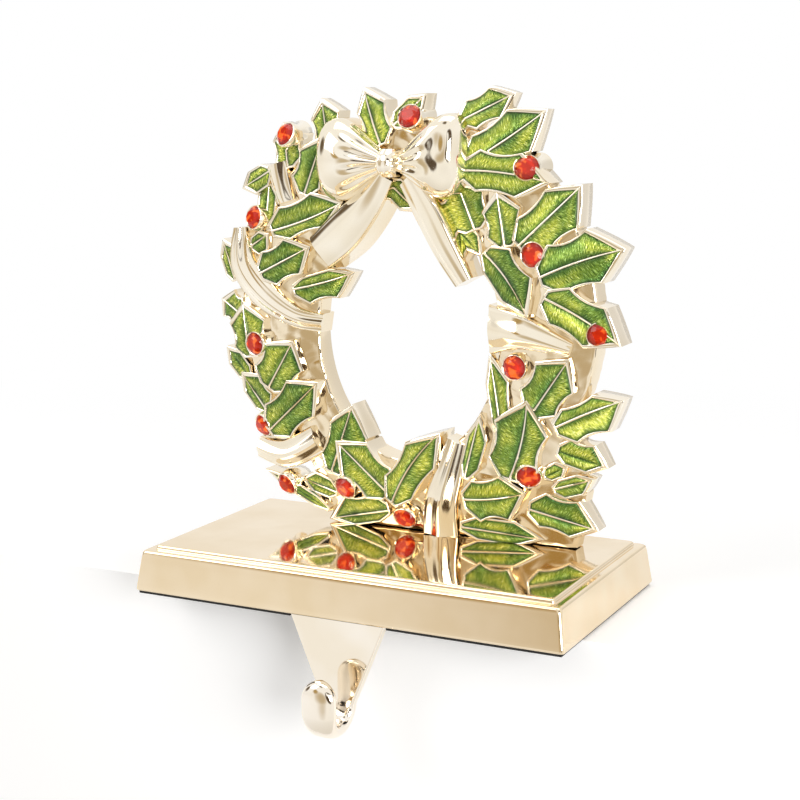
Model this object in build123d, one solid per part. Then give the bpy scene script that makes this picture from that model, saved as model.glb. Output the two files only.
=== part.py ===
from build123d import *
from collections import namedtuple
from math import atan2, cos, hypot, pi, sin
import os

# Sizes in millimetres. X runs along the front, Y goes back, Z is up.
# The origin is the middle of the pad's underside, on the shelf.

# Plinth
BASE_WIDTH = 130.0
BASE_DEPTH = 72.3
BASE_HEIGHT = 11.6
BASE_DRAFT = 8.0
BASE_EDGE = 1.1
PLATFORM_INSET = 2.8
PLATFORM_HEIGHT = 1.2
PLATFORM_EDGE = 0.8

# Pad
PAD_THICKNESS = 0.8
PAD_INSET = 1.0
PAD_GAP = 0.4

# Hook
HOOK_SETBACK = 0.5
PLATE_WIDTH = 28.4
PLATE_THICKNESS = 3.2
PLATE_DROP = 22.5
HOOK_WIDTH = 9.6
THROAT_GAP = 7.6
CURL_WIDTH = 8.4
CURL_THICKNESS = 4.0
CURL_STEPS = 8
HOOK_CHAMFER = 0.32
TIP_WIDTH = 10.4
TIP_THICKNESS = 5.0
TIP_RISE = 9.4
TIP_STEPS = 4
TANG_LENGTH = 38.0
TANG_THICKNESS = 3.0
RECESS_WALL = 1.5
RECESS_GAP = 0.15

# Screw that holds the hook
SCREW_DIAMETER = 4.0
THREAD_GAP = 0.1
CLEARANCE = 0.25
SCREW_LENGTH = 8.5
SINK_DIAMETER = 7.6
SCREW_SIDES = 12
HOLE_RUNOUT = 1.0

# Tenons that fix the wreath in the plinth
TENON_SPACING = 30.0
TENON_WIDTH = 12.0
TENON_THICKNESS = 4.0
TENON_DEPTH = 8.0
TENON_SETBACK = 3.4
TENON_GAP = 0.15

# Wreath. The layout below was drawn on a wreath of DRAWN_HEIGHT and scales with it.
WREATH_HEIGHT = 127.4
DRAWN_HEIGHT = 127.4
DRAWN_FOOT = 13.6
WREATH_BACK = 21.0
RING_CENTRE = (-1.5, 77.0)
RING_OUTER = 56.5
HOLE_CENTRE = (-3.5, 72.0)
HOLE_WIDE = 57.0
HOLE_TALL = 74.0
GROUND = 5.2
FIELD_INNER = 37.0
FIELD_OUTER = 53.5
FIELD_SIDES = 24
FIELD_HEIGHT = 7.6
FOOT_PLAN = [(-28.0, 13.6), (49.0, 13.6), (52.0, 30.0), (50.0, 46.0), (-36.0, 34.0)]

# Leaves stand on a domed field and each layer lies LAYER_STEP further forward.
CREST = 9.6
DOME_DROP = 2.6
DOME_HALF = 18.0
DOME_LIMIT = 0.75
CREST_RADIUS = 46.0
LAYER_STEP = 0.7
RIM = 0.75
RIB = 0.8
CELL_DEPTH = 0.9
ENAMEL_DROP = 0.25
SMALLEST_CELL = 2.4
PLAIN_WIDTH = 4.1

# Stones
STONE_RADIUS = 3.2
STONE_SIDES = 8
STONE_LEAN = 0.75
STONE_CROWN = 1.3
STONE_CROWN_LEAN = 45.0
STONE_GIRDLE = 0.5
STONE_BACK = 1.4
STONE_BACK_LEAN = 52.0
CUP_GAP = 0.12
CUP_WALL = 0.65
CUP_HEIGHT = 2.2
CUP_SIDES = 8

# Bow and ribbon
BOW_SEAT = 10.5
BOW_CENTRE = (-4.0, 120.5)
KNOT_HALF = 4.2
KNOT_TALL = 5.0
KNOT_CREST = 8.5
PLEATS = 4
RIBBON_FOOT = 2.0
SINK_IN = 1.0

Leaf = namedtuple("Leaf", "base tip left right bend layer ribbed")

# One row per leaf: foot of the midrib, tip, half widths on the left and right looking to the tip,
# sideways bow of the midrib, layer, and whether the leaf has a midrib.
LEAVES = [
    Leaf((-55.4, 55.0), (-64.6, 64.4), 3.4, 3.0, 0.0, 0, False),
    Leaf((-57.8, 74.5), (-65.6, 79.0), 4.4, 4.8, 0.0, 0, True),
    Leaf((-59.6, 84.6), (-64.8, 97.0), 2.8, 4.2, 0.0, 0, True),
    Leaf((-39.5, 83.0), (-20.3, 88.6), 2.8, 5.8, -0.5, 0, True),
    Leaf((-54.2, 95.0), (-47.0, 99.4), 2.4, 3.9, 0.0, 0, True),
    Leaf((-40.7, 118.2), (-43.6, 131.6), 4.3, 5.8, 0.0, 0, True),
    Leaf((-48.5, 101.3), (-47.4, 116.0), 3.6, 3.2, 0.0, 0, True),
    Leaf((-27.0, 124.0), (-30.8, 138.4), 4.4, 5.0, 0.0, 0, True),
    Leaf((-6.5, 130.5), (3.4, 139.6), 3.2, 3.4, 0.0, 0, True),
    Leaf((14.0, 132.0), (29.4, 139.6), 4.8, 4.4, 0.0, 0, True),
    Leaf((28.0, 43.5), (22.3, 68.0), 2.6, 4.6, 0.0, 0, True),
    Leaf((39.6, 33.8), (47.0, 37.6), 2.6, 2.2, 0.0, 0, False),
    Leaf((42.4, 30.6), (54.6, 34.6), 2.4, 3.6, 0.0, 0, True),
    Leaf((10.6, 104.0), (20.4, 94.4), 3.8, 2.2, 0.0, 0, False),
    Leaf((-8.0, 115.0), (0.5, 106.6), 3.8, 3.6, 0.0, 0, True),
    Leaf((-27.0, 29.0), (-20.0, 50.2), 5.2, 7.6, 0.0, 0, True),
    Leaf((-6.4, 22.4), (3.0, 16.2), 2.2, 1.9, 0.0, 0, False),
    Leaf((-25.6, 22.8), (-38.8, 26.2), 3.0, 3.6, 0.0, 0, True),
    Leaf((-28.4, 17.4), (-51.0, 27.6), 2.0, 2.0, 0.0, 0, False),
    Leaf((-49.4, 45.6), (-58.8, 57.0), 3.3, 5.6, 0.0, 0, True),
    Leaf((-34.8, 110.6), (-28.6, 128.0), 6.0, 4.6, 0.0, 1, True),
    Leaf((-46.6, 117.6), (-57.0, 112.0), 3.8, 3.3, 0.0, 1, True),
    Leaf((-9.4, 125.0), (-16.4, 141.4), 4.2, 5.0, 0.4, 1, True),
    Leaf((16.6, 120.0), (38.8, 135.2), 6.2, 7.0, -0.4, 1, True),
    Leaf((18.4, 101.8), (13.2, 116.0), 7.6, 6.8, 0.0, 1, True),
    Leaf((27.9, 97.6), (25.7, 113.4), 5.2, 6.2, 0.0, 1, True),
    Leaf((32.4, 98.2), (50.2, 115.4), 6.0, 7.6, 0.0, 1, True),
    Leaf((36.6, 51.8), (47.6, 68.2), 7.0, 6.2, 0.0, 1, True),
    Leaf((44.0, 42.2), (58.4, 38.0), 4.8, 3.5, 0.0, 1, False),
    Leaf((36.0, 25.0), (56.0, 20.0), 6.4, 4.6, 0.0, 1, True),
    Leaf((14.8, 17.2), (40.2, 15.6), 4.0, 3.4, 0.0, 1, True),
    Leaf((16.4, 31.6), (20.9, 50.8), 2.2, 4.0, 0.0, 1, True),
    Leaf((-7.6, 19.6), (-29.0, 14.4), 3.2, 6.0, 0.0, 1, True),
    Leaf((-54.0, 61.8), (-56.6, 78.4), 6.0, 7.0, 0.6, 1, True),
    Leaf((15.2, 118.6), (41.6, 115.6), 6.6, 5.2, 1.0, 2, True),
    Leaf((39.0, 90.0), (62.6, 98.5), 8.0, 6.5, 0.8, 2, True),
    Leaf((21.0, 96.2), (35.2, 78.4), 8.2, 3.8, 1.5, 2, True),
    Leaf((43.6, 48.6), (63.0, 57.6), 4.4, 6.4, 0.4, 2, True),
    Leaf((30.3, 32.6), (35.6, 56.0), 7.7, 7.9, -1.2, 2, True),
    Leaf((-7.4, 24.7), (-24.9, 39.2), 6.6, 6.6, 0.0, 2, True),
    Leaf((-47.6, 53.0), (-38.8, 68.0), 7.4, 6.9, 0.0, 2, True),
    Leaf((-45.6, 100.0), (-21.6, 109.2), 5.8, 4.6, -0.8, 2, True),
    Leaf((40.4, 84.8), (62.4, 72.4), 6.5, 5.7, 0.8, 3, True),
    Leaf((16.2, 25.8), (35.6, 29.5), 5.4, 7.4, -0.9, 3, True),
    Leaf((-6.0, 22.2), (9.3, 44.5), 6.7, 4.6, 1.8, 3, True),
    Leaf((-47.4, 40.2), (-30.0, 56.4), 6.8, 6.4, 0.0, 3, True),
    Leaf((-49.4, 87.4), (-32.4, 96.0), 5.6, 5.7, 0.0, 3, True),
]

# Margin of a half leaf as (share of the length, share of the half width): shoulder, spine, bay, spine, bay.
MARGIN = [(0.0, 0.42), (0.2, 1.0), (0.42, 0.87), (0.66, 1.06), (0.86, 0.47)]

# Centres of the stones on the front of the wreath.
STONES = [
    (34.6, 119.6),
    (37.0, 96.2),
    (56.1, 75.2),
    (31.5, 64.7),
    (36.1, 34.2),
    (-21.9, 25.2),
    (-2.6, 18.0),
    (-42.2, 24.2),
    (-50.1, 41.5),
    (-51.7, 66.4),
    (-40.9, 128.1),
    (-51.7, 103.8),
    (-0.6, 133.2),
]

# A ribbon is a row of stations: place, width, height at its edges and at its ridge.
BANDS = [
    [(-57.6, 100.6, 4.6, 8.4, 9.4), (-56.2, 90.0, 8.6, 9.6, 11.6), (-48.6, 81.4, 9.0, 10.6, 12.6),
     (-38.6, 75.2, 6.4, 10.2, 11.6), (-30.0, 73.4, 5.6, 8.4, 9.2)],
    [(-52.6, 34.4, 6.4, 8.0, 9.4), (-42.0, 33.6, 8.6, 9.8, 11.6), (-31.6, 38.6, 9.0, 9.8, 11.4)],
    [(8.2, 13.0, 11.6, 8.0, 9.6), (9.2, 25.0, 10.4, 10.0, 12.4), (14.0, 41.8, 7.6, 8.6, 10.0)],
    [(23.0, 74.6, 14.0, 8.0, 9.2), (33.0, 74.6, 9.6, 10.4, 12.0), (47.6, 70.4, 4.0, 9.2, 10.0)],
    [(-44.6, 119.6, 6.8, 8.8, 10.0), (-41.2, 108.6, 6.0, 9.4, 10.6)],
]
TAILS = [
    [(-6.6, 116.4, 7.0, 11.0, 13.6), (-13.2, 108.6, 10.6, 11.4, 13.8), (-21.6, 100.8, 13.6, 11.0, 13.0),
     (-29.6, 94.4, 12.6, 10.0, 12.0)],
    [(-0.6, 116.0, 6.4, 11.0, 13.6), (5.4, 106.4, 8.4, 11.4, 13.8), (10.8, 96.4, 7.6, 11.0, 12.8),
     (16.0, 87.6, 6.2, 10.0, 11.4)],
]

# A bow loop as (distance from the knot, half height, crest, pleat depth).
LOOP = [
    (0.0, 4.2, 5.6, 0.16),
    (3.6, 7.2, 7.4, 0.13),
    (8.0, 10.4, 9.2, 0.09),
    (12.4, 11.9, 9.4, 0.05),
    (16.4, 10.8, 8.2, 0.02),
    (18.8, 7.6, 5.4, 0.0),
    (19.9, 3.6, 2.4, 0.0),
]
LOOP_STEPS = 16
# Swell of the knot along its height.
KNOT = [(-1.0, 0.72), (-0.55, 0.96), (0.0, 1.04), (0.55, 0.96), (1.0, 0.72)]
LOOP_REACH = {-1: 1.0, 1: 0.87}
LOOP_RISE = {-1: 0.8, 1: 2.6}

BASE_BOTTOM = PAD_THICKNESS
LEDGE = BASE_BOTTOM + BASE_HEIGHT
PLATFORM = LEDGE + PLATFORM_HEIGHT
BASE_FRONT = -BASE_DEPTH / 2
PLATE_FRONT = BASE_FRONT + HOOK_SETBACK
PLATE_BACK = PLATE_FRONT + PLATE_THICKNESS
TANG_FRONT = BASE_FRONT + RECESS_WALL
SCREW_Y = TANG_FRONT + TANG_LENGTH * 2 / 3
SCALE = WREATH_HEIGHT / DRAWN_HEIGHT
TENON_Y = WREATH_BACK - TENON_SETBACK
# The wreath is drawn as seen from the front: across, up, and forward from its back.
WREATH_PLANE = Plane(origin=(0, WREATH_BACK, PLATFORM), x_dir=(1, 0, 0), z_dir=(0, -1, 0))


def drawn(x, z):
    """Place of a drawn point on the wreath plane, measured up from the platform."""
    return (x * SCALE, (z - DRAWN_FOOT) * SCALE)


def polygon(points):
    return make_face(Polyline(*points, close=True))


def ring_of(count, radius, centre=(0.0, 0.0)):
    turn = [2 * pi * (k + 0.5) / count for k in range(count)]
    return [(centre[0] + radius * cos(a), centre[1] + radius * sin(a)) for a in turn]


def leaf_frame(leaf):
    """Foot, length, direction to the tip and direction to the left of a leaf."""
    foot = drawn(*leaf.base)
    tip = drawn(*leaf.tip)
    length = hypot(tip[0] - foot[0], tip[1] - foot[1])
    along = ((tip[0] - foot[0]) / length, (tip[1] - foot[1]) / length)
    return foot, length, along, (-along[1], along[0])


def leaf_point(leaf, u, v):
    foot, _, along, left = leaf_frame(leaf)
    return (foot[0] + along[0] * u + left[0] * v, foot[1] + along[1] * u + left[1] * v)


def margin(width):
    """Margin of a half leaf; a narrow half has no bay between its spines."""
    return [stop for k, stop in enumerate(MARGIN) if k != 2 or width > PLAIN_WIDTH]


def leaf_outline(leaf):
    length = leaf_frame(leaf)[1]
    one = [leaf_point(leaf, t * length, w * leaf.left * SCALE) for t, w in margin(leaf.left)]
    two = [leaf_point(leaf, t * length, -w * leaf.right * SCALE) for t, w in margin(leaf.right)]
    return two + [leaf_point(leaf, length, 0)] + one[::-1]


def inner_margin(leaf, width):
    """Margin of a half leaf drawn in by its rim, as (along, across)."""
    run = leaf_frame(leaf)[1] - 3.2 * RIM
    return [(RIM + t * run, max(w * width * SCALE - 1.1 * RIM, RIB)) for t, w in margin(width)[1:]]


def half_cell(leaf, side):
    """Inside of one half of a leaf, clear of the rim and of the midrib."""
    length = leaf_frame(leaf)[1]
    inner = inner_margin(leaf, leaf.left if side > 0 else leaf.right)
    stops = [length - 2.2 * RIM, length / 2, RIM] if leaf.bend else [length - 2.2 * RIM, RIM]
    rib = [(u, RIB / 2 + side * leaf.bend * 4 * u * (length - u) / length**2) for u in stops]
    return [leaf_point(leaf, u, side * v) for u, v in (inner + rib)[::side]]


def whole_cell(leaf):
    """Inside of a leaf that has no midrib."""
    tip = leaf_point(leaf, leaf_frame(leaf)[1] - 2.2 * RIM, 0)
    one = [leaf_point(leaf, u, v) for u, v in inner_margin(leaf, leaf.left)]
    two = [leaf_point(leaf, u, -v) for u, v in inner_margin(leaf, leaf.right)]
    return [leaf_point(leaf, RIM, 0)] + two + [tip] + one[::-1]


def leaf_cells(leaf):
    if not leaf.ribbed:
        return [whole_cell(leaf)]
    return [half_cell(leaf, 1), half_cell(leaf, -1)]


def dome_share(reach):
    """Place across the domed field: nought on its crest, up to the limit at its edges."""
    share = (reach - CREST_RADIUS * SCALE) / (DOME_HALF * SCALE)
    return max(-DOME_LIMIT, min(share, DOME_LIMIT))


def leaf_height(leaf):
    """Height of a leaf's middle and its slope away from the middle of the ring."""
    middle = leaf_point(leaf, leaf_frame(leaf)[1] / 2, 0)
    centre = drawn(*RING_CENTRE)
    out = (middle[0] - centre[0], middle[1] - centre[1])
    reach = hypot(*out)
    share = dome_share(reach)
    height = CREST - DOME_DROP * share**2 + LAYER_STEP * leaf.layer
    slope = -2 * DOME_DROP * share / (DOME_HALF * SCALE)
    return middle, height, (slope * out[0] / reach, slope * out[1] / reach)


def leaf_plane(leaf):
    middle, height, slope = leaf_height(leaf)
    return Plane(origin=(middle[0], middle[1], height), z_dir=(-slope[0], -slope[1], 1))


def prism(face, plane_low, plane_high):
    """What stands on a face between two planes, the lower one left out for the back of the wreath."""
    body = extrude(face, amount=2 * CREST + 2 * KNOT_CREST, dir=(0, 0, 1))
    body = split(body, bisect_by=plane_high, keep=Keep.BOTTOM)
    if plane_low is None:
        return body
    return split(body, bisect_by=plane_low, keep=Keep.TOP)


def near(one, two):
    a, b = one.bounding_box(), two.bounding_box()
    across = a.min.X < b.max.X and b.min.X < a.max.X
    return across and a.min.Y < b.max.Y and b.min.Y < a.max.Y


def trimmed(face, covers):
    """Pieces of a face that no cover hides."""
    rest = [cover for cover in covers if near(face, cover)]
    if not rest:
        return [face]
    left = face - rest
    if left is None:
        return []
    return [piece for piece in left.faces() if piece.area > 0.3]


def strip_outline(stations):
    """Plan of a ribbon and its arched sections, square to its run."""
    spots = [drawn(s[0], s[1]) for s in stations]
    one, two, sections = [], [], []
    for k, (_, _, width, edge, ridge) in enumerate(stations):
        before, after = spots[max(k - 1, 0)], spots[min(k + 1, len(spots) - 1)]
        turn = atan2(after[1] - before[1], after[0] - before[0])
        x, z = spots[k]
        dx, dz = -sin(turn) * width / 2 * SCALE, cos(turn) * width / 2 * SCALE
        one.append((x + dx, z + dz))
        two.append((x - dx, z - dz))
        sections.append(arched((x - dx, z - dz), (x, z), (x + dx, z + dz), edge, ridge))
    return two + one[::-1], sections


def arched(start, middle, end, edge, ridge):
    """Upright section with a flat foot, two walls and an arched top."""
    between = edge + 0.72 * (ridge - edge)
    one = ((start[0] + middle[0]) / 2, (start[1] + middle[1]) / 2, between)
    two = ((end[0] + middle[0]) / 2, (end[1] + middle[1]) / 2, between)
    foot = [(*end, RIBBON_FOOT), (*start, RIBBON_FOOT)]
    return [(*start, edge), one, (*middle, ridge), two, (*end, edge)] + foot


def skinned(rows):
    """Solid with flat facets through rows of points, one row per section."""
    faces = [polygon(rows[0]), polygon(rows[-1])]
    count = len(rows[0])
    for one, two in zip(rows, rows[1:]):
        for k in range(count):
            a, b, c, d = one[k], one[(k + 1) % count], two[(k + 1) % count], two[k]
            faces.append(polygon([a, b, c]))
            faces.append(polygon([a, c, d]))
    return Solid(Shell([face.face() for face in faces]))


def loop_sections(side):
    """D-shaped sections of a bow loop, gathered in pleats towards the knot."""
    x0, z0 = drawn(*BOW_CENTRE)
    rows = []
    for run, half, crest, pleat in LOOP:
        x = x0 + side * (KNOT_HALF - SINK_IN + run * LOOP_REACH[side]) * SCALE
        z = z0 + LOOP_RISE[side] * run / LOOP[-1][0] * SCALE
        front = []
        for k in range(LOOP_STEPS + 1):
            angle = pi * k / LOOP_STEPS
            swell = 1 + pleat * (cos(2 * PLEATS * angle) - 1) / 2
            front.append((x, z - half * SCALE * swell * cos(angle), BOW_SEAT + crest * swell * sin(angle)))
        rows.append(d_section(front))
    return rows


def d_section(front):
    """Section with a curved front and a flat back sunk below the bow's seat."""
    (x1, z1, _), (x2, z2, _) = front[0], front[-1]
    low = BOW_SEAT - SINK_IN
    return front + [(x2, z2, low), (x1, z1, low)]


def loop_plan(side):
    x0, z0 = drawn(*BOW_CENTRE)
    low, high = [], []
    for run, half, _, _ in LOOP:
        x = x0 + side * (KNOT_HALF - SINK_IN + run * LOOP_REACH[side]) * SCALE
        z = z0 + LOOP_RISE[side] * run / LOOP[-1][0] * SCALE
        low.append((x, z - half * SCALE))
        high.append((x, z + half * SCALE))
    return (low + high[::-1])[::side]


def knot_solid():
    x0, z0 = drawn(*BOW_CENTRE)
    rows = []
    for share, swell in KNOT:
        z = z0 + share * KNOT_TALL * SCALE
        half = KNOT_HALF * swell * SCALE
        turns = [pi * k / 8 for k in range(9)]
        front = [(x0 - half * cos(a), z, BOW_SEAT + KNOT_CREST * swell * sin(a)) for a in turns]
        rows.append(d_section(front))
    return skinned(rows)


def knot_plan():
    x0, z0 = drawn(*BOW_CENTRE)
    half = KNOT_HALF * SCALE
    tall = KNOT_TALL * SCALE
    return [(x0 - half, z0 - tall), (x0 + half, z0 - tall), (x0 + half, z0 + tall), (x0 - half, z0 + tall)]


def seat_plane(spot):
    """Floor of a stone's cup on the dome of the field; past the crest it leans outwards."""
    centre = drawn(*RING_CENTRE)
    out = (spot[0] - centre[0], spot[1] - centre[1])
    reach = hypot(*out)
    share = dome_share(reach)
    lean = STONE_LEAN * max(share, 0)
    across = (lean * out[0] / reach, lean * out[1] / reach)
    height = CREST - DOME_DROP * share**2
    foot = (spot[0] - across[0] * STONE_BACK, spot[1] - across[1] * STONE_BACK, height)
    return Plane(origin=foot, x_dir=(1, 0, -across[0]), z_dir=(*across, 1))


def above_foot(gap):
    """The drawing plane over the foot line, a gap clear of it."""
    return Pos(0, 2 * WREATH_HEIGHT + gap) * Rectangle(4 * WREATH_HEIGHT, 4 * WREATH_HEIGHT)


def cup_plan(spot):
    return polygon(ring_of(CUP_SIDES, STONE_RADIUS + CUP_GAP + CUP_WALL, spot))


def leaf_bodies(covers):
    """Cast leaves with their cells, and the enamel that fills the cells."""
    order = sorted(LEAVES, key=lambda leaf: leaf.layer)
    outlines = [polygon(leaf_outline(leaf)) for leaf in order]
    bodies, fills = [], []
    for k, leaf in enumerate(order):
        top = leaf_plane(leaf)
        over = outlines[k + 1:]
        pockets = []
        for points in leaf_cells(leaf):
            for cell in trimmed(polygon(points) & above_foot(RIM), over + covers):
                if cell.area > SMALLEST_CELL:
                    pockets.append(prism(cell, top.offset(-CELL_DEPTH), top.offset(CELL_DEPTH)))
                    fills.append(prism(cell, top.offset(-CELL_DEPTH), top.offset(-ENAMEL_DROP)))
        for piece in trimmed(outlines[k] & above_foot(0), over):
            body = prism(piece, None, top)
            bodies.append(body - pockets if pockets else body)
    return bodies, fills


def ground_bodies():
    """Plain ring behind the leaves, the foot it stands on and the raised field between the leaves."""
    disc = Pos(*drawn(*RING_CENTRE)) * Circle(RING_OUTER * SCALE)
    foot = polygon([drawn(*spot) for spot in FOOT_PLAN])
    hole = Pos(*drawn(*HOLE_CENTRE)) * Ellipse(HOLE_WIDE / 2 * SCALE, HOLE_TALL / 2 * SCALE)
    wide = polygon(ring_of(FIELD_SIDES, FIELD_OUTER * SCALE, drawn(*RING_CENTRE)))
    narrow = polygon(ring_of(FIELD_SIDES, FIELD_INNER * SCALE, drawn(*RING_CENTRE)))
    field = extrude(wide - narrow - hole, amount=FIELD_HEIGHT, dir=(0, 0, 1))
    return extrude(disc + foot - hole, amount=GROUND, dir=(0, 0, 1)) + field


def wreath_casting(spots, strips, bow, covers):
    leaves, fills = leaf_bodies(covers)
    seats = [extrude(plan, amount=BOW_SEAT, dir=(0, 0, 1)) for plan in bow]
    ribbons = [skinned(sections) for _, sections in strips]
    loops = [skinned(loop_sections(side)) for side in (-1, 1)]
    cups = [prism(cup_plan(spot), None, seat_plane(spot).offset(CUP_HEIGHT)) for spot in spots]
    body = ground_bodies() + leaves + ribbons + seats + loops + [knot_solid()] + cups
    seat = RegularPolygon(STONE_RADIUS + CUP_GAP, CUP_SIDES)
    holes = [seat_plane(spot).location * extrude(seat, amount=3 * CUP_HEIGHT) for spot in spots]
    return split(body - holes, bisect_by=Plane.XZ, keep=Keep.BOTTOM), fills


def rhinestone(spot):
    """Faceted stone resting on the floor of its cup: tapered back, girdle and tapered crown."""
    outline = RegularPolygon(STONE_RADIUS, STONE_SIDES)
    girdle = extrude(outline, amount=STONE_GIRDLE)
    crown = extrude(Pos(0, 0, STONE_GIRDLE) * outline, amount=STONE_CROWN, taper=STONE_CROWN_LEAN)
    back = mirror(extrude(outline, amount=STONE_BACK, taper=STONE_BACK_LEAN), about=Plane.XY)
    return seat_plane(spot).location * Pos(0, 0, STONE_BACK) * (girdle + crown + back)


def bore(diameter, low, high):
    """Upright pin or hole for the screw, with flat sides that keep its mesh light."""
    return Pos(0, SCREW_Y, low) * extrude(RegularPolygon(diameter / 2, SCREW_SIDES), amount=high - low)


def tenons(gap):
    """Lugs under the wreath, or with a gap the slots that take them."""
    lug = Box(TENON_WIDTH + 2 * gap, TENON_THICKNESS + 2 * gap, TENON_DEPTH + SINK_IN + gap)
    middle = PLATFORM + (SINK_IN - TENON_DEPTH - gap) / 2
    return [Pos(side * TENON_SPACING / 2, TENON_Y, middle) * lug for side in (-1, 1)]


def base_casting():
    plan = Pos(0, 0, BASE_BOTTOM) * Rectangle(BASE_WIDTH, BASE_DEPTH)
    body = extrude(plan, amount=BASE_HEIGHT, taper=BASE_DRAFT)
    ledge = body.faces().sort_by(Axis.Z)[-1]
    size = ledge.bounding_box().size
    body = fillet(ledge.edges(), BASE_EDGE)
    step = Rectangle(size.X - 2 * PLATFORM_INSET, size.Y - 2 * PLATFORM_INSET)
    top = extrude(Pos(0, 0, LEDGE - SINK_IN) * step, amount=PLATFORM_HEIGHT + SINK_IN)
    top = fillet(top.faces().sort_by(Axis.Z)[-1].edges(), PLATFORM_EDGE)
    body = body + top - tang_block(RECESS_GAP, TANG_THICKNESS) - tenons(TENON_GAP)
    deep = BASE_BOTTOM + SCREW_LENGTH + HOLE_RUNOUT
    return body - bore(SCREW_DIAMETER + THREAD_GAP, BASE_BOTTOM, deep)


def tang_block(gap, height):
    """Flat tang under the plinth, or with a gap the recess that takes it."""
    width = PLATE_WIDTH + 2 * gap
    length = TANG_LENGTH + 2 * gap
    plan = Rectangle(width, length)
    middle = TANG_FRONT + TANG_LENGTH / 2
    return extrude(Pos(0, middle, BASE_BOTTOM) * plan, amount=height)


def base_pad():
    plan = Rectangle(BASE_WIDTH - 2 * PAD_INSET, BASE_DEPTH - 2 * PAD_INSET)
    reach = PLATE_BACK + PAD_GAP - BASE_FRONT
    notch = Pos(0, BASE_FRONT + reach / 2) * Rectangle(PLATE_WIDTH + 2 * PAD_GAP, reach)
    return extrude(plan - notch, amount=PAD_THICKNESS, dir=(0, 0, 1))


def hook_section(y, z, turn, width, thickness):
    """Chamfered section of the curl, square to its run."""
    w, t = width / 2, thickness / 2
    c = min(width, thickness) * HOOK_CHAMFER
    d = 0.3 * c
    quarter = [(w, t - c), (w - d, t - d), (w - c, t)]
    half = quarter + [(-x, n) for x, n in quarter[::-1]]
    shape = half + [(-x, -n) for x, n in half]
    return [(x, y + n * cos(turn), z + n * sin(turn)) for x, n in shape]


def through(share, start, middle, end):
    """Size along the curl, from its start through its lowest point to its end."""
    return start + (middle - start) * min(2 * share, 1) + (end - middle) * max(2 * share - 1, 0)


def hook_curl():
    """J-shaped curl from the foot of the plate to the rounded tip."""
    inner = THROAT_GAP / 2
    y0, z0 = PLATE_FRONT - inner, -PLATE_DROP
    rows = [hook_section(PLATE_FRONT + PLATE_THICKNESS / 2, z0 + SINK_IN, 0, HOOK_WIDTH, PLATE_THICKNESS)]
    for k in range(CURL_STEPS + 1):
        share = k / CURL_STEPS
        width = through(share, HOOK_WIDTH, CURL_WIDTH, TIP_WIDTH)
        thick = through(share, PLATE_THICKNESS, CURL_THICKNESS, TIP_THICKNESS)
        turn = -pi * share
        reach = inner + thick / 2
        rows.append(hook_section(y0 + reach * cos(turn), z0 + reach * sin(turn), turn, width, thick))
    y1 = y0 - inner - TIP_THICKNESS / 2
    for k in range(TIP_STEPS + 1):
        turn = 0.48 * pi * k / TIP_STEPS
        z = z0 + TIP_RISE - TIP_WIDTH / 2 * (1 - sin(turn))
        rows.append(hook_section(y1, z, -pi, TIP_WIDTH * cos(turn), TIP_THICKNESS * (1 + cos(turn)) / 2))
    return skinned(rows)


def hook():
    half, foot = PLATE_WIDTH / 2, HOOK_WIDTH / 2
    face = [(-half, BASE_BOTTOM), (-foot, -PLATE_DROP), (foot, -PLATE_DROP), (half, BASE_BOTTOM)]
    front = Plane(origin=(0, PLATE_FRONT, 0), x_dir=(1, 0, 0), z_dir=(0, -1, 0))
    body = tang_block(0, TANG_THICKNESS)
    body += extrude(front * polygon(face), amount=PLATE_THICKNESS, dir=(0, 1, 0))
    body += hook_curl()
    body -= bore(SCREW_DIAMETER + 2 * CLEARANCE, 0, BASE_BOTTOM + TANG_THICKNESS)
    return body - countersink(2 * CLEARANCE)


def countersink(gap):
    """Countersunk head, or with a gap the seat that takes it."""
    head = RegularPolygon((SINK_DIAMETER + gap) / 2, SCREW_SIDES)
    rise = (SINK_DIAMETER - SCREW_DIAMETER) / 2
    return Pos(0, SCREW_Y, BASE_BOTTOM) * extrude(head, amount=rise, taper=45)


def hook_screw():
    return bore(SCREW_DIAMETER, BASE_BOTTOM, BASE_BOTTOM + SCREW_LENGTH) + countersink(0)


def one_solid(body):
    """The single solid of a piece, so that a stray chip is noticed at once."""
    solids = body.solids()
    if len(solids) != 1:
        raise ValueError(f"{len(solids)} solids where one was meant")
    return solids[0]


def save(name, solids):
    shape = solids[0] if len(solids) == 1 else Compound(solids)
    shape.label = name
    export_step(shape, f"parts/{name}.step")


def main():
    os.makedirs("parts", exist_ok=True)
    spots = [drawn(*spot) for spot in STONES]
    strips = [strip_outline(stations) for stations in BANDS + TAILS]
    bow = [polygon(loop_plan(-1)), polygon(loop_plan(1)), polygon(knot_plan())]
    covers = [polygon(plan) for plan, _ in strips] + bow + [cup_plan(spot) for spot in spots]
    casting, fills = wreath_casting(spots, strips, bow, covers)
    wreath = WREATH_PLANE.location * casting + tenons(0)
    save("wreath_casting", [one_solid(wreath)])
    save("leaf_enamel", [WREATH_PLANE.location * solid for fill in fills for solid in fill.solids()])
    for number, spot in enumerate(spots, 1):
        save(f"rhinestone_{number:02d}", [one_solid(WREATH_PLANE.location * rhinestone(spot))])
    save("base_casting", [one_solid(base_casting())])
    save("base_pad", [one_solid(base_pad())])
    save("hook", [one_solid(hook())])
    save("hook_screw", [one_solid(hook_screw())])


main()
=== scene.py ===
import math
import random
from collections import namedtuple

import bmesh
import bpy
from mathutils import Matrix, Vector

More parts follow.
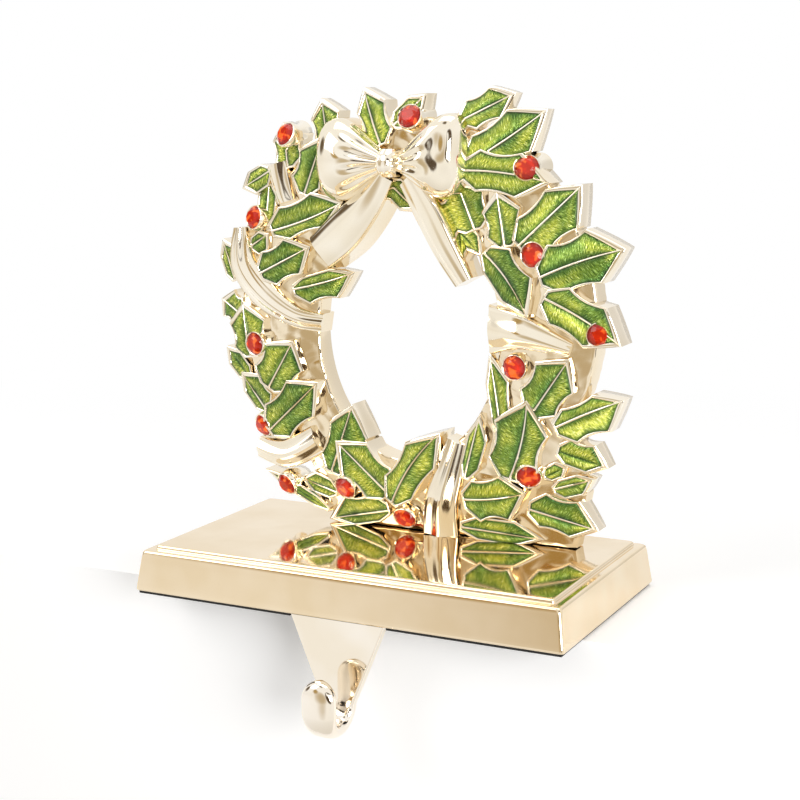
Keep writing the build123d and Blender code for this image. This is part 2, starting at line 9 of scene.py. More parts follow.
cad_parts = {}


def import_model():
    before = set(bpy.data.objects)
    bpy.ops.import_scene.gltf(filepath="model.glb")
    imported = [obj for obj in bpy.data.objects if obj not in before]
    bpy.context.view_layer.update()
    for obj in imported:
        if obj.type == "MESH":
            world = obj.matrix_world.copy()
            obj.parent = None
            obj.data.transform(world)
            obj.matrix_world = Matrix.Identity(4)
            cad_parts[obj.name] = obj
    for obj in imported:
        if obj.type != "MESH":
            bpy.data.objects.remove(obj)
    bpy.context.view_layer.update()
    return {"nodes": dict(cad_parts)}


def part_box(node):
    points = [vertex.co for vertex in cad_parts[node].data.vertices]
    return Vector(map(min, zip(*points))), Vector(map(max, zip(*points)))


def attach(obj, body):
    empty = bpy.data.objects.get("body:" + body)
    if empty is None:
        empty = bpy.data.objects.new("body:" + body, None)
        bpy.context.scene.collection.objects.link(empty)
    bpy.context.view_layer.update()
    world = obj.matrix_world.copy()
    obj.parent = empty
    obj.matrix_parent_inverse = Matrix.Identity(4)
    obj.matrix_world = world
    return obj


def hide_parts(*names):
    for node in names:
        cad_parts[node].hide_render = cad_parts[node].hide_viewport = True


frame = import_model()
random.seed(7)
MM = 0.001

# Places read from the frame.
BASE_LOW, BASE_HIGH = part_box("base_casting")
HOOK_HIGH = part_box("hook")[1]
WREATH_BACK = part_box("wreath_casting")[1].y / MM

# The wreath is drawn in millimetres as in the solids: across, up from the shelf, forward from its back.
# A leaf has its foot, tip, half widths to the left and right, bow of the midrib, layer and whether it has a
# midrib. Layers between whole numbers keep leaves that overlap from crossing.
Leaf = namedtuple("Leaf", "base tip left right bend layer ribbed")
LEAVES = [
    Leaf((-55.4, 55.0), (-64.6, 64.4), 3.4, 3.0, 0.0, -1.1, False),
    Leaf((-57.8, 74.5), (-65.6, 79.0), 4.4, 4.8, 0.0, 0, True),
    Leaf((-59.6, 84.6), (-64.8, 97.0), 2.8, 4.2, 0.0, 0, True),
    Leaf((-39.5, 83.0), (-20.3, 88.6), 2.8, 5.8, -0.5, 0, True),
    Leaf((-54.2, 95.0), (-47.0, 99.4), 2.4, 3.9, 0.0, 0, True),
    Leaf((-40.7, 118.2), (-43.6, 131.6), 4.3, 5.8, 0.0, -0.5, True),
    Leaf((-48.5, 101.3), (-47.4, 116.0), 3.6, 3.2, 0.0, 0, True),
    Leaf((-27.0, 124.0), (-30.8, 138.4), 4.4, 5.0, 0.0, -0.3, True),
    Leaf((-6.5, 130.5), (3.4, 139.6), 3.2, 3.4, 0.0, 0, True),
    Leaf((14.0, 132.0), (29.4, 139.6), 4.8, 4.4, 0.0, -1.35, True),
    Leaf((28.0, 43.5), (22.3, 68.0), 2.6, 4.6, 0.0, 0, True),
    Leaf((39.6, 33.8), (47.0, 37.6), 2.6, 2.2, 0.0, -0.7, False),
    Leaf((42.4, 30.6), (54.6, 34.6), 2.4, 3.6, 0.0, -0.7, True),
    Leaf((10.6, 104.0), (20.4, 94.4), 3.8, 2.2, 0.0, -1.5, False),
    Leaf((-8.0, 115.0), (0.5, 106.6), 3.8, 3.6, 0.0, 0, True),
    Leaf((-27.0, 29.0), (-20.0, 50.2), 5.2, 7.6, 0.0, 0, True),
    Leaf((-6.4, 22.4), (3.0, 16.2), 2.2, 1.9, 0.0, 0, False),
    Leaf((-25.6, 22.8), (-38.8, 26.2), 3.0, 3.6, 0.0, 0, True),
    Leaf((-28.4, 17.4), (-51.0, 27.6), 2.0, 2.0, 0.0, 0, False),
    Leaf((-49.4, 45.6), (-58.8, 57.0), 3.3, 5.6, 0.0, 0, True),
    Leaf((-34.8, 110.6), (-28.6, 128.0), 6.0, 4.6, 0.0, 1, True),
    Leaf((-46.6, 117.6), (-57.0, 112.0), 3.8, 3.3, 0.0, 1, True),
    Leaf((-9.4, 125.0), (-16.4, 141.4), 4.2, 5.0, 0.4, 1, True),
    Leaf((16.6, 120.0), (38.8, 135.2), 6.2, 7.0, -0.4, 0.25, True),
    Leaf((18.4, 101.8), (13.2, 116.0), 7.6, 6.8, 0.0, 0.3, True),
    Leaf((27.9, 97.6), (25.7, 113.4), 5.2, 6.2, 0.0, 1, True),
    Leaf((32.4, 98.2), (50.2, 115.4), 6.0, 7.6, 0.0, 1, True),
    Leaf((36.6, 51.8), (47.6, 68.2), 7.0, 6.2, 0.0, 1, True),
    Leaf((44.0, 42.2), (58.4, 38.0), 4.8, 3.5, 0.0, 0.2, False),
    Leaf((36.0, 25.0), (56.0, 20.0), 6.4, 4.6, 0.0, 1, True),
    Leaf((14.8, 17.2), (40.2, 15.6), 4.0, 3.4, 0.0, 0.3, True),
    Leaf((16.4, 31.6), (20.9, 50.8), 2.2, 4.0, 0.0, 1, True),
    Leaf((-7.6, 19.6), (-29.0, 14.4), 3.2, 6.0, 0.0, 0.7, True),
    Leaf((-54.0, 61.8), (-56.6, 78.4), 6.0, 7.0, 0.6, 1, True),
    Leaf((15.2, 118.6), (41.6, 115.6), 6.6, 5.2, 1.0, 2.5, True),
    Leaf((39.0, 90.0), (62.6, 98.5), 8.0, 6.5, 0.8, 2, True),
    Leaf((21.0, 96.2), (35.2, 78.4), 8.2, 3.8, 1.5, 2, True),
    Leaf((43.6, 48.6), (63.0, 57.6), 4.4, 6.4, 0.4, 2, True),
    Leaf((30.3, 32.6), (35.6, 56.0), 7.7, 7.9, -1.2, 2, True),
    Leaf((-7.4, 24.7), (-24.9, 39.2), 6.6, 6.6, 0.0, 2, True),
    Leaf((-47.6, 53.0), (-38.8, 68.0), 7.4, 6.9, 0.0, 2, True),
    Leaf((-45.6, 100.0), (-21.6, 109.2), 5.8, 4.6, -0.8, 2, True),
    Leaf((40.4, 84.8), (62.4, 72.4), 6.5, 5.7, 0.8, 3, True),
    Leaf((16.2, 25.8), (35.6, 29.5), 5.4, 7.4, -0.9, 3, True),
    Leaf((-6.0, 22.2), (9.3, 44.5), 6.7, 4.6, 1.8, 3, True),
    Leaf((-47.4, 40.2), (-30.0, 56.4), 6.8, 6.4, 0.0, 3, True),
    Leaf((-49.4, 87.4), (-32.4, 96.0), 5.6, 5.7, 0.0, 3, True),
]
# Margin of a half leaf as shares along and across it: spines, and the bays between them. Narrow halves lack
# the first bay.
MARGIN = [(0.0, 0.42), (0.2, 1.0), (0.42, 0.87), (0.66, 1.06), (0.86, 0.47), (1.0, 0.0)]
FIRST_BAY = 2
PLAIN_WIDTH = 4.1
MARGIN_STEPS = 5
# What an inset takes off a leaf's length and off its half widths, in insets, and the least half width left.
TIP_DRAW, SIDE_DRAW, THINNEST = 3.2, 1.1, 0.02
# Rim of a leaf as (inset, height against the leaf's plane), from the outer wall over the bead to the enamel.
RIM_BEAD = [(0.0, -0.5), (0.05, -0.2), (0.2, -0.04), (0.38, 0.0), (0.54, -0.06), (0.67, -0.22), (0.76, -0.6)]
# Rounded edge at the back of a leaf as (inset, height). Each back lies a step before the last one.
BACK_EDGE = [(0.5, 0.0), (0.18, 0.12), (0.0, 0.6)]
BACK_START, BACK_STEP = 0.05, 0.008
LAYER_STEP = 0.7
# Enamel: inset and heights of its edge, swell of its dome, lap under the midrib or across the middle, how
# its veins sweep forward, and how fast the painted shade at its edges gives way inwards.
ENAMEL_EDGE, ENAMEL_TOP, ENAMEL_FLOOR = 0.68, -0.3, -0.58
ENAMEL_SWELL, ENAMEL_STEPS = 0.34, 8
RIB_TUCK, SEAM_LAP, TIP_GAP = 0.1, 0.05, 0.01
VEIN_SWEEP, EDGE_SHADE_FADE = 1.3, 3.0
SEED_SPAN = 50
# Midrib: width, share of it left at the tip, where it starts and stops, and its section.
RIB, RIB_TAPER = 0.8, 0.62
RIB_START, RIB_STOP = 0.3, 0.8
RIB_SEAT, RIB_CREST = 0.42, 0.46
RIB_ROWS, RIB_STEPS = 14, 6
# Painted shade: how much deeper gold the plating gets on walls and beside edges, where shade falls.
WALL_SHADE, BEAD_SHADE, SHOULDER_SHADE, EDGE_SHADE = 0.3, 0.12, 0.1, 0.8
LOOP_SHADES = [0.5, 0.7, 0.4]

# Domed ring under the leaves, its hole and its foot on the platform.
RING_CENTRE, RING_OUTER = (-1.5, 77.0), 56.5
HOLE_CENTRE, HOLE_WIDE, HOLE_TALL = (-3.5, 72.0), 57.0, 74.0
FOOT_PLAN = [(-28.0, 13.6), (49.0, 13.6), (52.0, 30.0), (50.0, 46.0), (-36.0, 34.0)]
FOOT = 13.6
CREST, DOME_DROP, DOME_HALF, DOME_LIMIT, CREST_RADIUS = 9.6, 2.6, 18.0, 0.75, 46.0
# Hammered field: how far it lies under the dome, depth of its hammering, and its waves across and up as
# pitch, sway and pitch of the sway.
FIELD_DROP, HAMMER = 1.35, 0.22
HAMMER_WAVES = [(0.9, 1.7, 0.55), (0.8, 1.3, 0.4)]
# Lips of the ring as (share of the way out, height against the field), where none is the back.
INNER_LIP = [(0.0, None), (0.0, -0.8), (0.008, -0.25), (0.03, 0.0)]
OUTER_LIP = [(0.975, 0.0), (0.993, -0.25), (1.0, -0.8), (1.0, None)]
GROUND_COLUMNS, GROUND_STEPS = 240, 24
REACH_STEP, REACH_COUNT = 0.25, 360

# Ribbon bands and tails of the bow as stations of across, up, width, edge height and ridge height.
BANDS = [
    [(-57.6, 100.6, 4.6, 8.4, 9.4), (-56.2, 90.0, 8.6, 9.6, 11.6), (-48.6, 81.4, 9.0, 10.6, 12.6),
     (-38.6, 75.2, 6.4, 10.2, 11.6), (-30.0, 73.4, 5.6, 8.4, 9.2)],
    [(-52.6, 34.4, 6.4, 8.0, 9.4), (-42.0, 33.6, 8.6, 9.8, 11.6), (-31.6, 38.6, 9.0, 9.8, 11.4)],
    [(8.2, 13.6, 11.6, 8.0, 9.6), (9.2, 25.0, 10.4, 10.0, 12.4), (14.0, 41.8, 7.6, 8.6, 10.0)],
    [(23.0, 74.6, 14.0, 8.0, 9.2), (33.0, 74.6, 9.6, 10.4, 12.0), (47.6, 70.4, 4.0, 9.2, 10.0)],
    [(-44.6, 119.6, 6.8, 8.8, 10.0), (-41.2, 108.6, 6.0, 9.4, 10.6)],
]
TAILS = [
    [(-7.6, 116.8, 6.4, 11.0, 13.6), (-13.8, 108.6, 10.6, 11.4, 13.8), (-21.6, 100.8, 13.6, 11.0, 13.0),
     (-29.6, 94.4, 12.6, 10.0, 12.0)],
    [(-0.6, 116.0, 7.0, 11.0, 13.6), (5.8, 106.6, 9.0, 11.4, 13.8), (11.0, 96.6, 8.2, 11.0, 12.8),
     (16.0, 87.6, 6.2, 10.0, 11.4)],
]
BAND_PLEATS, BAND_CREASE = (2.0, 1.5, 2.0, 1.2, 1.0), 0.35
# Each tail's pleats and depth of crease, then its ridge's place and its draft as shares of the half width.
TAIL_FOLDS = [(1.0, -0.12, -0.25, 0.12), (1.6, 0.2, 0.7, 0.02)]
# Walls of a ribbon go from the foot to a shoulder below the edge. A hem runs beside each rounded edge.
RIBBON_FOOT, SHOULDER = 2.0, 1.0
HEM, HEM_AT, HEM_WIDE = 0.22, 0.9, 0.07
ROUND_OFF, FOLD_DRIFT = 0.45, 1.2
ARCH, ARCH_TOP = 1.7, 0.9
STRIP_ROWS, STRIP_STEPS = 28, 32

# Loop of the bow as stations of run from the knot, half height and crest.
LOOP = [
    (0.0, 3.2, 5.6),
    (3.6, 6.0, 7.4),
    (8.0, 9.6, 9.2),
    (12.4, 11.7, 9.4),
    (16.4, 11.2, 8.2),
    (18.8, 8.4, 5.4),
    (19.9, 4.2, 2.4),
]
# Middle of the knot, height from which the bow swells, foot of its walls, and how far the left and right
# loops reach, as shares of the stations' run, and rise.
BOW_CENTRE, BOW_SEAT, BOW_FOOT = (-5.2, 120.5), 10.5, 3.0
LOOP_REACH = {-1: 1.01, 1: 0.96}
LOOP_RISE = {-1: 0.8, 1: 2.6}
LOOP_ROWS, LOOP_STEPS = 40, 96
PLEATS, PLEAT_DEPTH, PLEAT_RUN = 6, 0.15, 8.5
PLEAT_SHIFT, PLEAT_SHARP, PLEAT_FADE = 0.5, 1.6, 0.4
# Outer end of the right loop: how far it falls off, and its dents as depth, run, spread along the run, angle
# round the loop and spread of the angle.
FALL, FALL_FROM, FALL_RUN = 2.0, 7.0, 13.0
DENTS = [(1.8, 13.0, 3.2, 1.85, 0.46), (1.1, 15.0, 2.4, 1.15, 0.34)]
# Knot as share of its half height and swell of its section.
KNOT = [(-1.0, 0.72), (-0.55, 0.96), (0.0, 1.04), (0.55, 0.96), (1.0, 0.72)]
KNOT_HALF, KNOT_TALL, KNOT_CREST = 4.2, 3.9, 8.5
KNOT_ROWS, KNOT_STEPS = 24, 48
GROOVES, GROOVE, GROOVE_FADE = 3, 0.07, 0.3
# How far a loop starts inside the knot.
SINK_IN = 1.0

# Stones as across and up. The culet has a radius and a height, the girdle two heights, and the star points
# and the table a share of the radius and a height.
STONES = [
    (34.6, 119.6),
    (37.0, 96.2),
    (56.1, 75.2),
    (31.5, 64.7),
    (36.1, 34.2),
    (-21.9, 25.2),
    (-2.6, 18.0),
    (-42.2, 24.2),
    (-50.1, 41.5),
    (-51.7, 66.4),
    (-40.9, 128.1),
    (-51.7, 103.8),
    (-0.6, 133.2),
]
STONE_RADIUS, STONE_LEAN, STONE_BACK = 3.2, 0.75, 1.4
CULET, GIRDLE = (1.15, 0.02), (1.4, 1.9)
STAR, TABLE = (0.84, 2.55), (0.58, 3.15)
# Number of mains, and the painted shade at the star points.
MAINS, STAR_SHADE = 8, 0.6
# Cup: bezel from its foot to its lip and the post behind it, as (past the outer radius, height).
BEZEL_CLEAR, BEZEL_WALL, CUP_SIDES = 0.05, 0.5, 40
BEZEL = [(0.25, -0.6), (0.1, 1.2), (0.0, 1.75), (-0.1, 1.95), (-0.25, 2.0)]
LIP_INSIDE, SEAT_CLEAR, CUP_EYE = 1.86, 0.1, 0.01
POST = [(-0.2, 0.05), (0.2, 0.5)]

# Plinth: its lower edge as (inset, height, corner radius), draft in degrees, ledge, and platform with the
# fillet at its foot as (outwards, height).
BASE_ARRIS = [(1.5, 0.0, 0.9), (0.7, 0.0, 0.9), (0.3, 0.12, 1.1), (0.12, 0.36, 1.2), (0.12, 0.8, 1.2)]
BASE_DRAFT, BASE_CORNER = 8.0, 1.2
LEDGE_WIDE, LEDGE_ROUND, LEDGE_TUCK = 2.8, 1.1, 0.1
PLATFORM_STEP, PLATFORM_ROUND, PLATFORM_CORNER, PLATFORM_RIM = 1.2, 0.8, 1.0, 1.4
PLATFORM_FOOT = [(0.35, 0.0), (0.1, 0.05), (0.0, 0.25)]
BASE_RISES, BASE_TURNS = 6, 6
# Corners of a rounded rectangle as signs across and along, and the angle at which each starts.
QUARTERS = ((1, 1, 0), (-1, 1, 90), (-1, -1, 180), (1, -1, 270))

# Hook: plate, curl and tip by thickness and width, the drop to the curl's middle, and radii of the edges.
PLATE_THICK, CURL_THICK, TIP_THICK = 3.2, 4.0, 5.0
PLATE_END, CURL_WIDE, TIP_WIDE = 9.6, 8.4, 10.4
PLATE_SETBACK, PLATE_CLEAR, TANG_LAP = 0.5, 0.05, 1.0
HOOK_DROP, HOOK_GAP, TIP_RISE, TIP_LEAN, TIP_BULGE = 22.45, 7.6, 9.4, 0.9, 0.9
PLATE_EDGE, CURL_EDGE, STEM_EDGE, TIP_EDGE = (0.5, 1.2), (1.2, 2.2), 2.3, 2.4
EDGE_LIMIT, TIP_CLOSE = 0.98, 0.495
PLATE_ROWS, CURL_ROWS, TIP_ROWS, EDGE_STEPS = 12, 28, 16, 7


def mix(a, b, share):
    """Value at a share of the way from one to the other."""
    return a + (b - a) * share


def world(x, z, h):
    """Drawn point of the wreath to the row frame, in metres; nothing goes below the platform."""
    return (x * MM, (WREATH_BACK - h) * MM, max(z, FOOT) * MM)


def ring_turns(sides):
    """Angles of evenly spaced points round a circle."""
    return [2 * math.pi * k / sides for k in range(sides)]


def shade_marks(values):
    """Marks that say how much painted shade a surface gets: deeper gold on the plating, darker red on the
    stones.
    """
    return [(value, 0.0, 0.0) for value in values]


class Build:
    """Gathers vertices, faces and a drawing coordinate for one mesh."""

    def __init__(self):
        self.points, self.faces, self.marks = [], [], []

    def add(self, point, mark=(0.0, 0.0, 0.0)):
        """One vertex; gives its number."""
        self.points.append(point)
        self.marks.append(mark)
        return len(self.points) - 1

    def row(self, points, marks=None):
        """A row of vertices; gives their numbers."""
        return [self.add(p, marks[k] if marks else (0.0, 0.0, 0.0)) for k, p in enumerate(points)]

    def skin(self, rows, closed=False):
        """Faces between rows that follow each other."""
        count = len(rows[0])
        last = count if closed else count - 1
        for one, two in zip(rows, rows[1:]):
            for k in range(last):
                n = (k + 1) % count
                self.faces.append((one[k], one[n], two[n], two[k]))

    def cap(self, row):
        """One face across a closed row."""
        self.faces.append(tuple(row))

    def tube(self, rows):
        """Closed rows skinned one after the other, with both ends capped."""
        self.skin(rows, closed=True)
        self.cap(rows[0])
        self.cap(rows[-1])

    def finish(self, name, material, sharp=None):
        """Object with smooth faces, and sharp edges past an angle in degrees if one is given."""
        mesh = bpy.data.meshes.new(name)
        mesh.from_pydata(self.points, [], self.faces)
        layer = mesh.attributes.new("mark", "FLOAT_VECTOR", "POINT")
        layer.data.foreach_set("vector", [c for mark in self.marks for c in mark])
        mesh.validate()
        mesh.shade_smooth()
        if sharp is not None:
            mesh.set_sharp_from_angle(angle=math.radians(sharp))
        obj = bpy.data.objects.new(name, mesh)
        bpy.context.collection.objects.link(obj)
        mesh.materials.append(material)
        face_outwards(obj)
        return obj


def face_outwards(obj):
    """Turns the faces of every shell outwards."""
    work = bmesh.new()
    work.from_mesh(obj.data)
    bmesh.ops.recalc_face_normals(work, faces=work.faces)
    for shell in shells(work):
        middle = sum((f.calc_center_median() for f in shell), Vector()) / len(shell)
        outward = sum(f.normal.dot(f.calc_center_median() - middle) * f.calc_area() for f in shell)
        if outward < 0:
            bmesh.ops.reverse_faces(work, faces=shell)
    work.to_mesh(obj.data)
    work.free()


def shells(work):
    """Lists of faces that hang together."""
    done = set()
    for first in work.faces:
        if first in done:
            continue
        done.add(first)
        shell = [first]
        for face in shell:
            for edge in face.edges:
                fresh = [f for f in edge.link_faces if f not in done]
                done.update(fresh)
                shell += fresh
        yield shell


def spread(rows, count):
    """Catmull-Rom curve through rows of values, at evenly spread places."""
    out = []
    spans = len(rows) - 1
    for k in range(count + 1):
        at = min(k * spans / count, spans - 1e-6)
        i = int(at)
        t = at - i
        p0, p1 = rows[max(i - 1, 0)], rows[i]
        p2, p3 = rows[i + 1], rows[min(i + 2, spans)]
        out.append([
            0.5 * (2 * b + (c - a) * t + (2 * a - 5 * b + 4 * c - d) * t**2 + (3 * b - a - 3 * c + d) * t**3)
            for a, b, c, d in zip(p0, p1, p2, p3)
        ])
    return out


# Leaves


def leaf_frame(leaf):
    """Length of a leaf and its direction."""
    (x0, z0), (x1, z1) = leaf.base, leaf.tip
    length = math.hypot(x1 - x0, z1 - z0)
    along = ((x1 - x0) / length, (z1 - z0) / length)
    return length, along


def leaf_place(leaf, u, v):
    """Drawn point from a place along and across a leaf."""
    _, along = leaf_frame(leaf)
    return (leaf.base[0] + along[0] * u - along[1] * v, leaf.base[1] + along[1] * u + along[0] * v)


def dome_share(reach, limit=DOME_LIMIT):
    """How far a point is from the dome's crest, as a share of the dome's half width."""
    return max(-limit, min((reach - CREST_RADIUS) / DOME_HALF, limit))


def leaf_level(leaf):
    """Function giving the height of a leaf's plane at a drawn point."""
    middle = leaf_place(leaf, leaf_frame(leaf)[0] / 2, 0)
    out = (middle[0] - RING_CENTRE[0], middle[1] - RING_CENTRE[1])
    reach = math.hypot(*out)
    share = dome_share(reach)
    height = CREST - DOME_DROP * share**2 + LAYER_STEP * leaf.layer
    slope = -2 * DOME_DROP * share / DOME_HALF
    gx, gz = slope * out[0] / reach, slope * out[1] / reach
    return lambda x, z: height + gx * (x - middle[0]) + gz * (z - middle[1])


def curve(one, pull, two, t):
    """Point on a curve from one point to another that a third one pulls."""
    return tuple((1 - t)**2 * a + 2 * t * (1 - t) * p + t * t * b for a, p, b in zip(one, pull, two))


def half_margin(width):
    """Margin from the shoulder to the tip as shares along and across, with hollow bays between spines."""
    wide = width > PLAIN_WIDTH
    stops = [stop for k, stop in enumerate(MARGIN) if wide or k != FIRST_BAY]
    spines = [stops[0], stops[1], stops[-3], stops[-1]]
    bays = [None, stops[FIRST_BAY] if wide else None, stops[-2]]
    out = [spines[0]]
    for one, two, bay in zip(spines, spines[1:], bays):
        middle = bay or ((one[0] + two[0]) / 2, (one[1] + two[1]) / 2)
        pull = [2 * m - (a + b) / 2 for m, a, b in zip(middle, one, two)]
        out += [curve(one, pull, two, k / MARGIN_STEPS) for k in range(1, MARGIN_STEPS + 1)]
    return out


def inset_side(leaf, side, inset):
    """One side of the leaf drawn in by an inset, as places along and across it."""
    length, _ = leaf_frame(leaf)
    width = leaf.left if side > 0 else leaf.right
    run = length - TIP_DRAW * inset
    out = []
    for along, across in half_margin(width):
        least = THINNEST if across > 0 else 0.0
        out.append((inset + along * run, side * max(across * width - SIDE_DRAW * inset, least)))
    return out


def leaf_loop(leaf, inset):
    """Whole outline of the leaf drawn in by an inset, as drawn points."""
    loop = inset_side(leaf, -1, inset) + inset_side(leaf, 1, inset)[::-1][1:]
    return [leaf_place(leaf, u, v) for u, v in loop]


def rib_offset(leaf, u):
    """How far the midrib bows to the side at a place along the leaf."""
    length, _ = leaf_frame(leaf)
    return leaf.bend * 4 * u * (length - u) / length**2


def add_leaf(gold, enamel, leaf, back):
    """Cast rim, walls and midrib of one leaf, and its enamel."""
    level = leaf_level(leaf)
    seed = random.random() * SEED_SPAN
    rows = []
    # Painted shade: the back edge gets the wall's share, the foot of the bead a little.
    for inset, rise in BACK_EDGE:
        points = [world(x, z, back + rise) for x, z in leaf_loop(leaf, inset)]
        rows.append(gold.row(points, shade_marks([WALL_SHADE] * len(points))))
    for inset, drop in RIM_BEAD:
        points = [world(x, z, level(x, z) + drop) for x, z in leaf_loop(leaf, inset)]
        shade_depth = BEAD_SHADE if drop == RIM_BEAD[0][1] else 0.0
        rows.append(gold.row(points, shade_marks([shade_depth] * len(points))))
    gold.tube(rows)
    for side in (-1, 1):
        add_half_enamel(enamel, leaf, side, level, seed)
    if leaf.ribbed:
        add_rib(gold, leaf, level)


def add_half_enamel(enamel, leaf, side, level, seed):
    """Softly domed enamel between the midrib and the rim, with its coordinate running along the veins."""
    length, _ = leaf_frame(leaf)
    edge = inset_side(leaf, side, ENAMEL_EDGE)
    gap = RIB / 2 - RIB_TUCK if leaf.ribbed else -SEAM_LAP
    width = leaf.left if side > 0 else leaf.right
    rows = []
    for k, (u, v) in enumerate(edge[:-1]):
        ru = ENAMEL_EDGE + (length - TIP_DRAW * ENAMEL_EDGE) * max(u / length, 0.0)**VEIN_SWEEP
        rv = rib_offset(leaf, ru) + side * min(gap, abs(v))
        fade = math.sin(math.pi * k / (len(edge) - 1))**0.5
        top, under, marks = [], [], []
        for j in range(ENAMEL_STEPS + 1):
            s = j / ENAMEL_STEPS
            x, z = leaf_place(leaf, mix(ru, u, s), mix(rv, v, s))
            swell = ENAMEL_SWELL * 4 * s * (1 - s) * fade
            top.append(world(x, z, level(x, z) + ENAMEL_TOP + swell))
            under.append(world(x, z, level(x, z) + ENAMEL_FLOOR))
            # Third mark: nought at the edge, where the enamel gets painted shade, one further in.
            inner = min(1.0, EDGE_SHADE_FADE * min(s, 1 - s) * fade)
            marks.append((mix(ru, u, 0.5) + seed, s * width + seed * side, inner))
        rows.append(enamel.row(top + under[::-1], marks + marks[::-1]))
    enamel.skin(rows, closed=True)
    enamel.cap(rows[0])
    tip = edge[-1][0]
    x, z = leaf_place(leaf, tip, side * TIP_GAP)
    mark = (tip + seed, width / 2 + seed * side, 0.0)
    high = enamel.add(world(x, z, level(x, z) + ENAMEL_TOP), mark)
    low = enamel.add(world(x, z, level(x, z) + ENAMEL_FLOOR), mark)
    close_tip(enamel, rows[-1], high, low)


def close_tip(enamel, row, high, low):
    """Draws the last row of an enamel fill to the edge at its tip."""
    back = ENAMEL_STEPS + 1
    for j in range(ENAMEL_STEPS):
        enamel.faces.append((row[j], row[j + 1], high))
        enamel.faces.append((row[back + j], row[back + j + 1], low))
    enamel.faces.append((row[ENAMEL_STEPS], row[back], low, high))
    enamel.faces.append((row[0], high, low, row[-1]))


def add_rib(gold, leaf, level):
    """Half-round midrib that thins towards the tip."""
    length, _ = leaf_frame(leaf)
    rows = []
    for k in range(RIB_ROWS + 1):
        u = mix(RIB_START, length - RIB_STOP, k / RIB_ROWS)
        half = RIB / 2 * mix(1.0, RIB_TAPER, k / RIB_ROWS)
        points = []
        for j in range(RIB_STEPS + 1):
            angle = math.pi * j / RIB_STEPS
            v = rib_offset(leaf, u) - half * math.cos(angle)
            x, z = leaf_place(leaf, u, v)
            points.append(world(x, z, level(x, z) - RIB_SEAT + RIB_CREST * math.sin(angle)))
        rows.append(gold.row(points))
    gold.tube(rows)


# Ground, ribbons and bow


def inside_foot(x, z):
    """Whether a drawn point lies in the plan of the wreath's foot."""
    hit = False
    for (x0, z0), (x1, z1) in zip(FOOT_PLAN, FOOT_PLAN[1:] + FOOT_PLAN[:1]):
        if (z0 > z) != (z1 > z) and x < x0 + (z - z0) / (z1 - z0) * (x1 - x0):
            hit = not hit
    return hit


def ring_reach(angle):
    """How far the ground goes out from the middle of the hole in one direction."""
    reach = 0.0
    for k in range(1, REACH_COUNT):
        r = k * REACH_STEP
        x, z = HOLE_CENTRE[0] + r * math.cos(angle), HOLE_CENTRE[1] + r * math.sin(angle)
        disc = math.hypot(x - RING_CENTRE[0], z - RING_CENTRE[1]) < RING_OUTER
        if z > FOOT and (disc or inside_foot(x, z)):
            reach = r
    return reach


def add_ground(gold):
    """Ring that carries the leaves, with its foot, a hammered face and rounded lips."""
    columns = []
    for a in ring_turns(GROUND_COLUMNS):
        inner = 1 / math.hypot(math.cos(a) / (HOLE_WIDE / 2), math.sin(a) / (HOLE_TALL / 2))
        columns.append((a, inner, ring_reach(a)))
    field = [(k / GROUND_STEPS, 0.0) for k in range(1, GROUND_STEPS)]
    rows = []
    for share, drop in INNER_LIP + field + OUTER_LIP:
        points = []
        for a, inner, outer in columns:
            r = mix(inner, outer, share)
            x, z = HOLE_CENTRE[0] + r * math.cos(a), HOLE_CENTRE[1] + r * math.sin(a)
            height = 0.0 if drop is None else field_level(x, z) + drop
            points.append(world(x, z, height))
        # The whole ground gets painted shade, as a wall does.
        rows.append(gold.row(points, shade_marks([WALL_SHADE] * len(points))))
    gold.skin(rows + [rows[0]], closed=True)


def ripple(a, b, pitch, sway, sway_pitch):
    """Wave along one direction that sways with the other."""
    return math.sin(a * pitch + sway * math.sin(b * sway_pitch))


def field_level(x, z):
    """Hammered gold field just under the leaves."""
    share = dome_share(math.hypot(x - RING_CENTRE[0], z - RING_CENTRE[1]), 1.0)
    across, up = ripple(x, z, *HAMMER_WAVES[0]), ripple(z, x, *HAMMER_WAVES[1])
    return CREST - DOME_DROP * share**2 - FIELD_DROP + HAMMER * across * up


